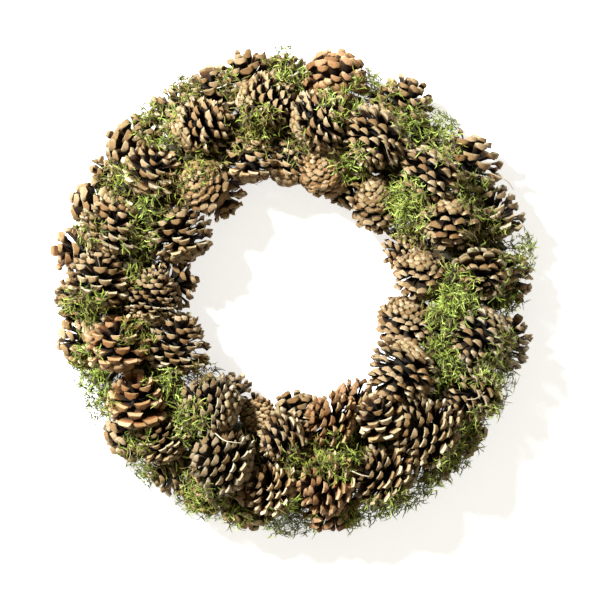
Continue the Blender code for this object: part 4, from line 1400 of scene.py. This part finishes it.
def moss_material():
    """Moss from brown through olive to bright green; darker towards the stems and paler towards the tips,
    partly its own colour and partly painted shade and painted highlight.
    """
    made, tree, shader = new_material("moss", roughness=0.75)
    along, _, tone = tint_parts(tree)
    colour = ramp(tree, tone, (
        (0.0, (0.085, 0.045, 0.016)), (0.20, (0.20, 0.12, 0.028)), (0.38, (0.21, 0.19, 0.024)),
        (0.60, (0.23, 0.28, 0.034)), (0.85, (0.31, 0.42, 0.055)), (1.0, (0.48, 0.60, 0.15))))
    # Along each shoot: near black at the stem, painted shade deep in the mat over a darker stem colour;
    # above one at the tip, painted highlight over paler new growth
    colour = tinged(tree, colour, along, (
        (0.0, (0.12, 0.11, 0.09)), (0.45, (0.47, 0.47, 0.38)), (1.0, (1.55, 1.50, 1.60))))
    colour = tinged(tree, colour, noise(tree, 60.0, detail=2.0), (
        (0.35, (0.75, 0.66, 0.55)), (0.65, (1.15, 1.15, 1.0))))
    return finished(made, shader, colour, grain=(1500.0, 4.0), strength=0.6, depth=0.0005)


def straw_material():
    """Straw in bands of gold and brown along the ring, with dark flecks."""
    made, tree, shader = new_material("straw", roughness=0.55)
    colour = ramp(tree, noise(tree, 70.0, detail=4.0), (
        (0.3, (0.30, 0.19, 0.07)), (0.5, (0.52, 0.37, 0.15)), (0.7, (0.68, 0.54, 0.27))))
    colour = tinged(tree, colour, noise(tree, 1400.0), (
        (0.35, (0.7, 0.65, 0.6)), (0.6, (1.0, 1.0, 1.0))))
    return finished(made, shader, colour, grain=(2600.0, 3.0), strength=0.4, depth=0.0003)


def wire_material():
    """Annealed wire with a dull green lacquer, rubbed through to the metal in places."""
    made, tree, shader = new_material("wire", roughness=0.42, metallic=1.0)
    colour = ramp(tree, noise(tree, 500.0), (
        (0.45, (0.05, 0.09, 0.045)), (0.62, (0.32, 0.31, 0.29))))
    return finished(made, shader, colour, grain=(3000.0, 2.0), strength=0.3, depth=0.0001)


def stem_material():
    """Dry stems, from brown twig to bleached grass."""
    made, tree, shader = new_material("stem", roughness=0.6)
    pale, _, _ = tint_parts(tree)
    colour = ramp(tree, pale, (
        (0.2, (0.07, 0.045, 0.03)), (0.6, (0.36, 0.27, 0.16)), (1.0, (0.78, 0.70, 0.55))))
    colour = tinged(tree, colour, noise(tree, 1200.0), (
        (0.3, (0.7, 0.68, 0.64)), (0.65, (1.08, 1.06, 1.0))))
    return finished(made, shader, colour, grain=(2500.0, 3.0), strength=0.4, depth=0.0003)


# Stage, light and camera

VIEW_WIDTH = 0.567
VIEW_MIDDLE = (0.0057, -0.0076)
VIEW_HEIGHT = 0.050
CAMERA_DISTANCE = 2.2
SENSOR = 36.0
KEY_PLACE = (-1.12, 1.00, 1.52)
KEY_SIZE = 0.30
KEY_POWER = 156.0
KEY_COLOUR = (0.95, 1.0, 1.0)
SKY_COLOUR = (1.0, 0.93, 0.72, 1.0)
SKY_STRENGTH = 0.31
FLOOR_SIZE = 12.0
FLOOR_GLOW = 0.70


def make_stage():
    bpy.ops.mesh.primitive_plane_add(size=FLOOR_SIZE, location=(0.0, 0.0, 0.0))
    floor = bpy.context.active_object
    floor.name = "studio_floor"
    made, tree, shader = new_material("studio_floor", roughness=0.9)
    grain = ramp(tree, noise(tree, 40.0), ((0.3, (0.86, 0.86, 0.86)), (0.7, (0.88, 0.88, 0.88))))
    plug(tree, grain, shader.inputs["Base Color"])
    shader.inputs["Emission Color"].default_value = (1.0, 1.0, 1.0, 1.0)
    shader.inputs["Emission Strength"].default_value = FLOOR_GLOW
    floor.data.materials.append(made)


def make_light():
    lamp = bpy.data.lights.new("key_light", "AREA")
    lamp.shape = "DISK"
    lamp.size = KEY_SIZE
    lamp.energy = KEY_POWER
    lamp.color = KEY_COLOUR
    key = linked("key_light", lamp)
    key.location = KEY_PLACE
    key.rotation_euler = (-Vector(KEY_PLACE)).to_track_quat("-Z", "Y").to_euler()
    world = bpy.data.worlds.new("soft_room")
    world.use_nodes = True
    sky = world.node_tree.nodes["Background"]
    sky.inputs["Color"].default_value = SKY_COLOUR
    sky.inputs["Strength"].default_value = SKY_STRENGTH
    bpy.context.scene.world = world
    bpy.context.scene.view_settings.view_transform = "Standard"


def make_camera():
    lens = bpy.data.cameras.new("camera")
    lens.sensor_width = SENSOR
    lens.lens = SENSOR * CAMERA_DISTANCE / VIEW_WIDTH
    camera = linked("camera", lens)
    camera.location = (RING_CENTRE[0] + VIEW_MIDDLE[0], RING_CENTRE[1] + VIEW_MIDDLE[1],
                       VIEW_HEIGHT + CAMERA_DISTANCE)
    bpy.context.scene.camera = camera


def main():
    cones, laid = make_cones()
    ground = Ground(laid)
    make_moss(moss_material(), cones, ground)
    make_straw(straw_material())
    make_wire(wire_material())
    make_stems(stem_material(), ground)
    make_stage()
    make_light()
    make_camera()


main()
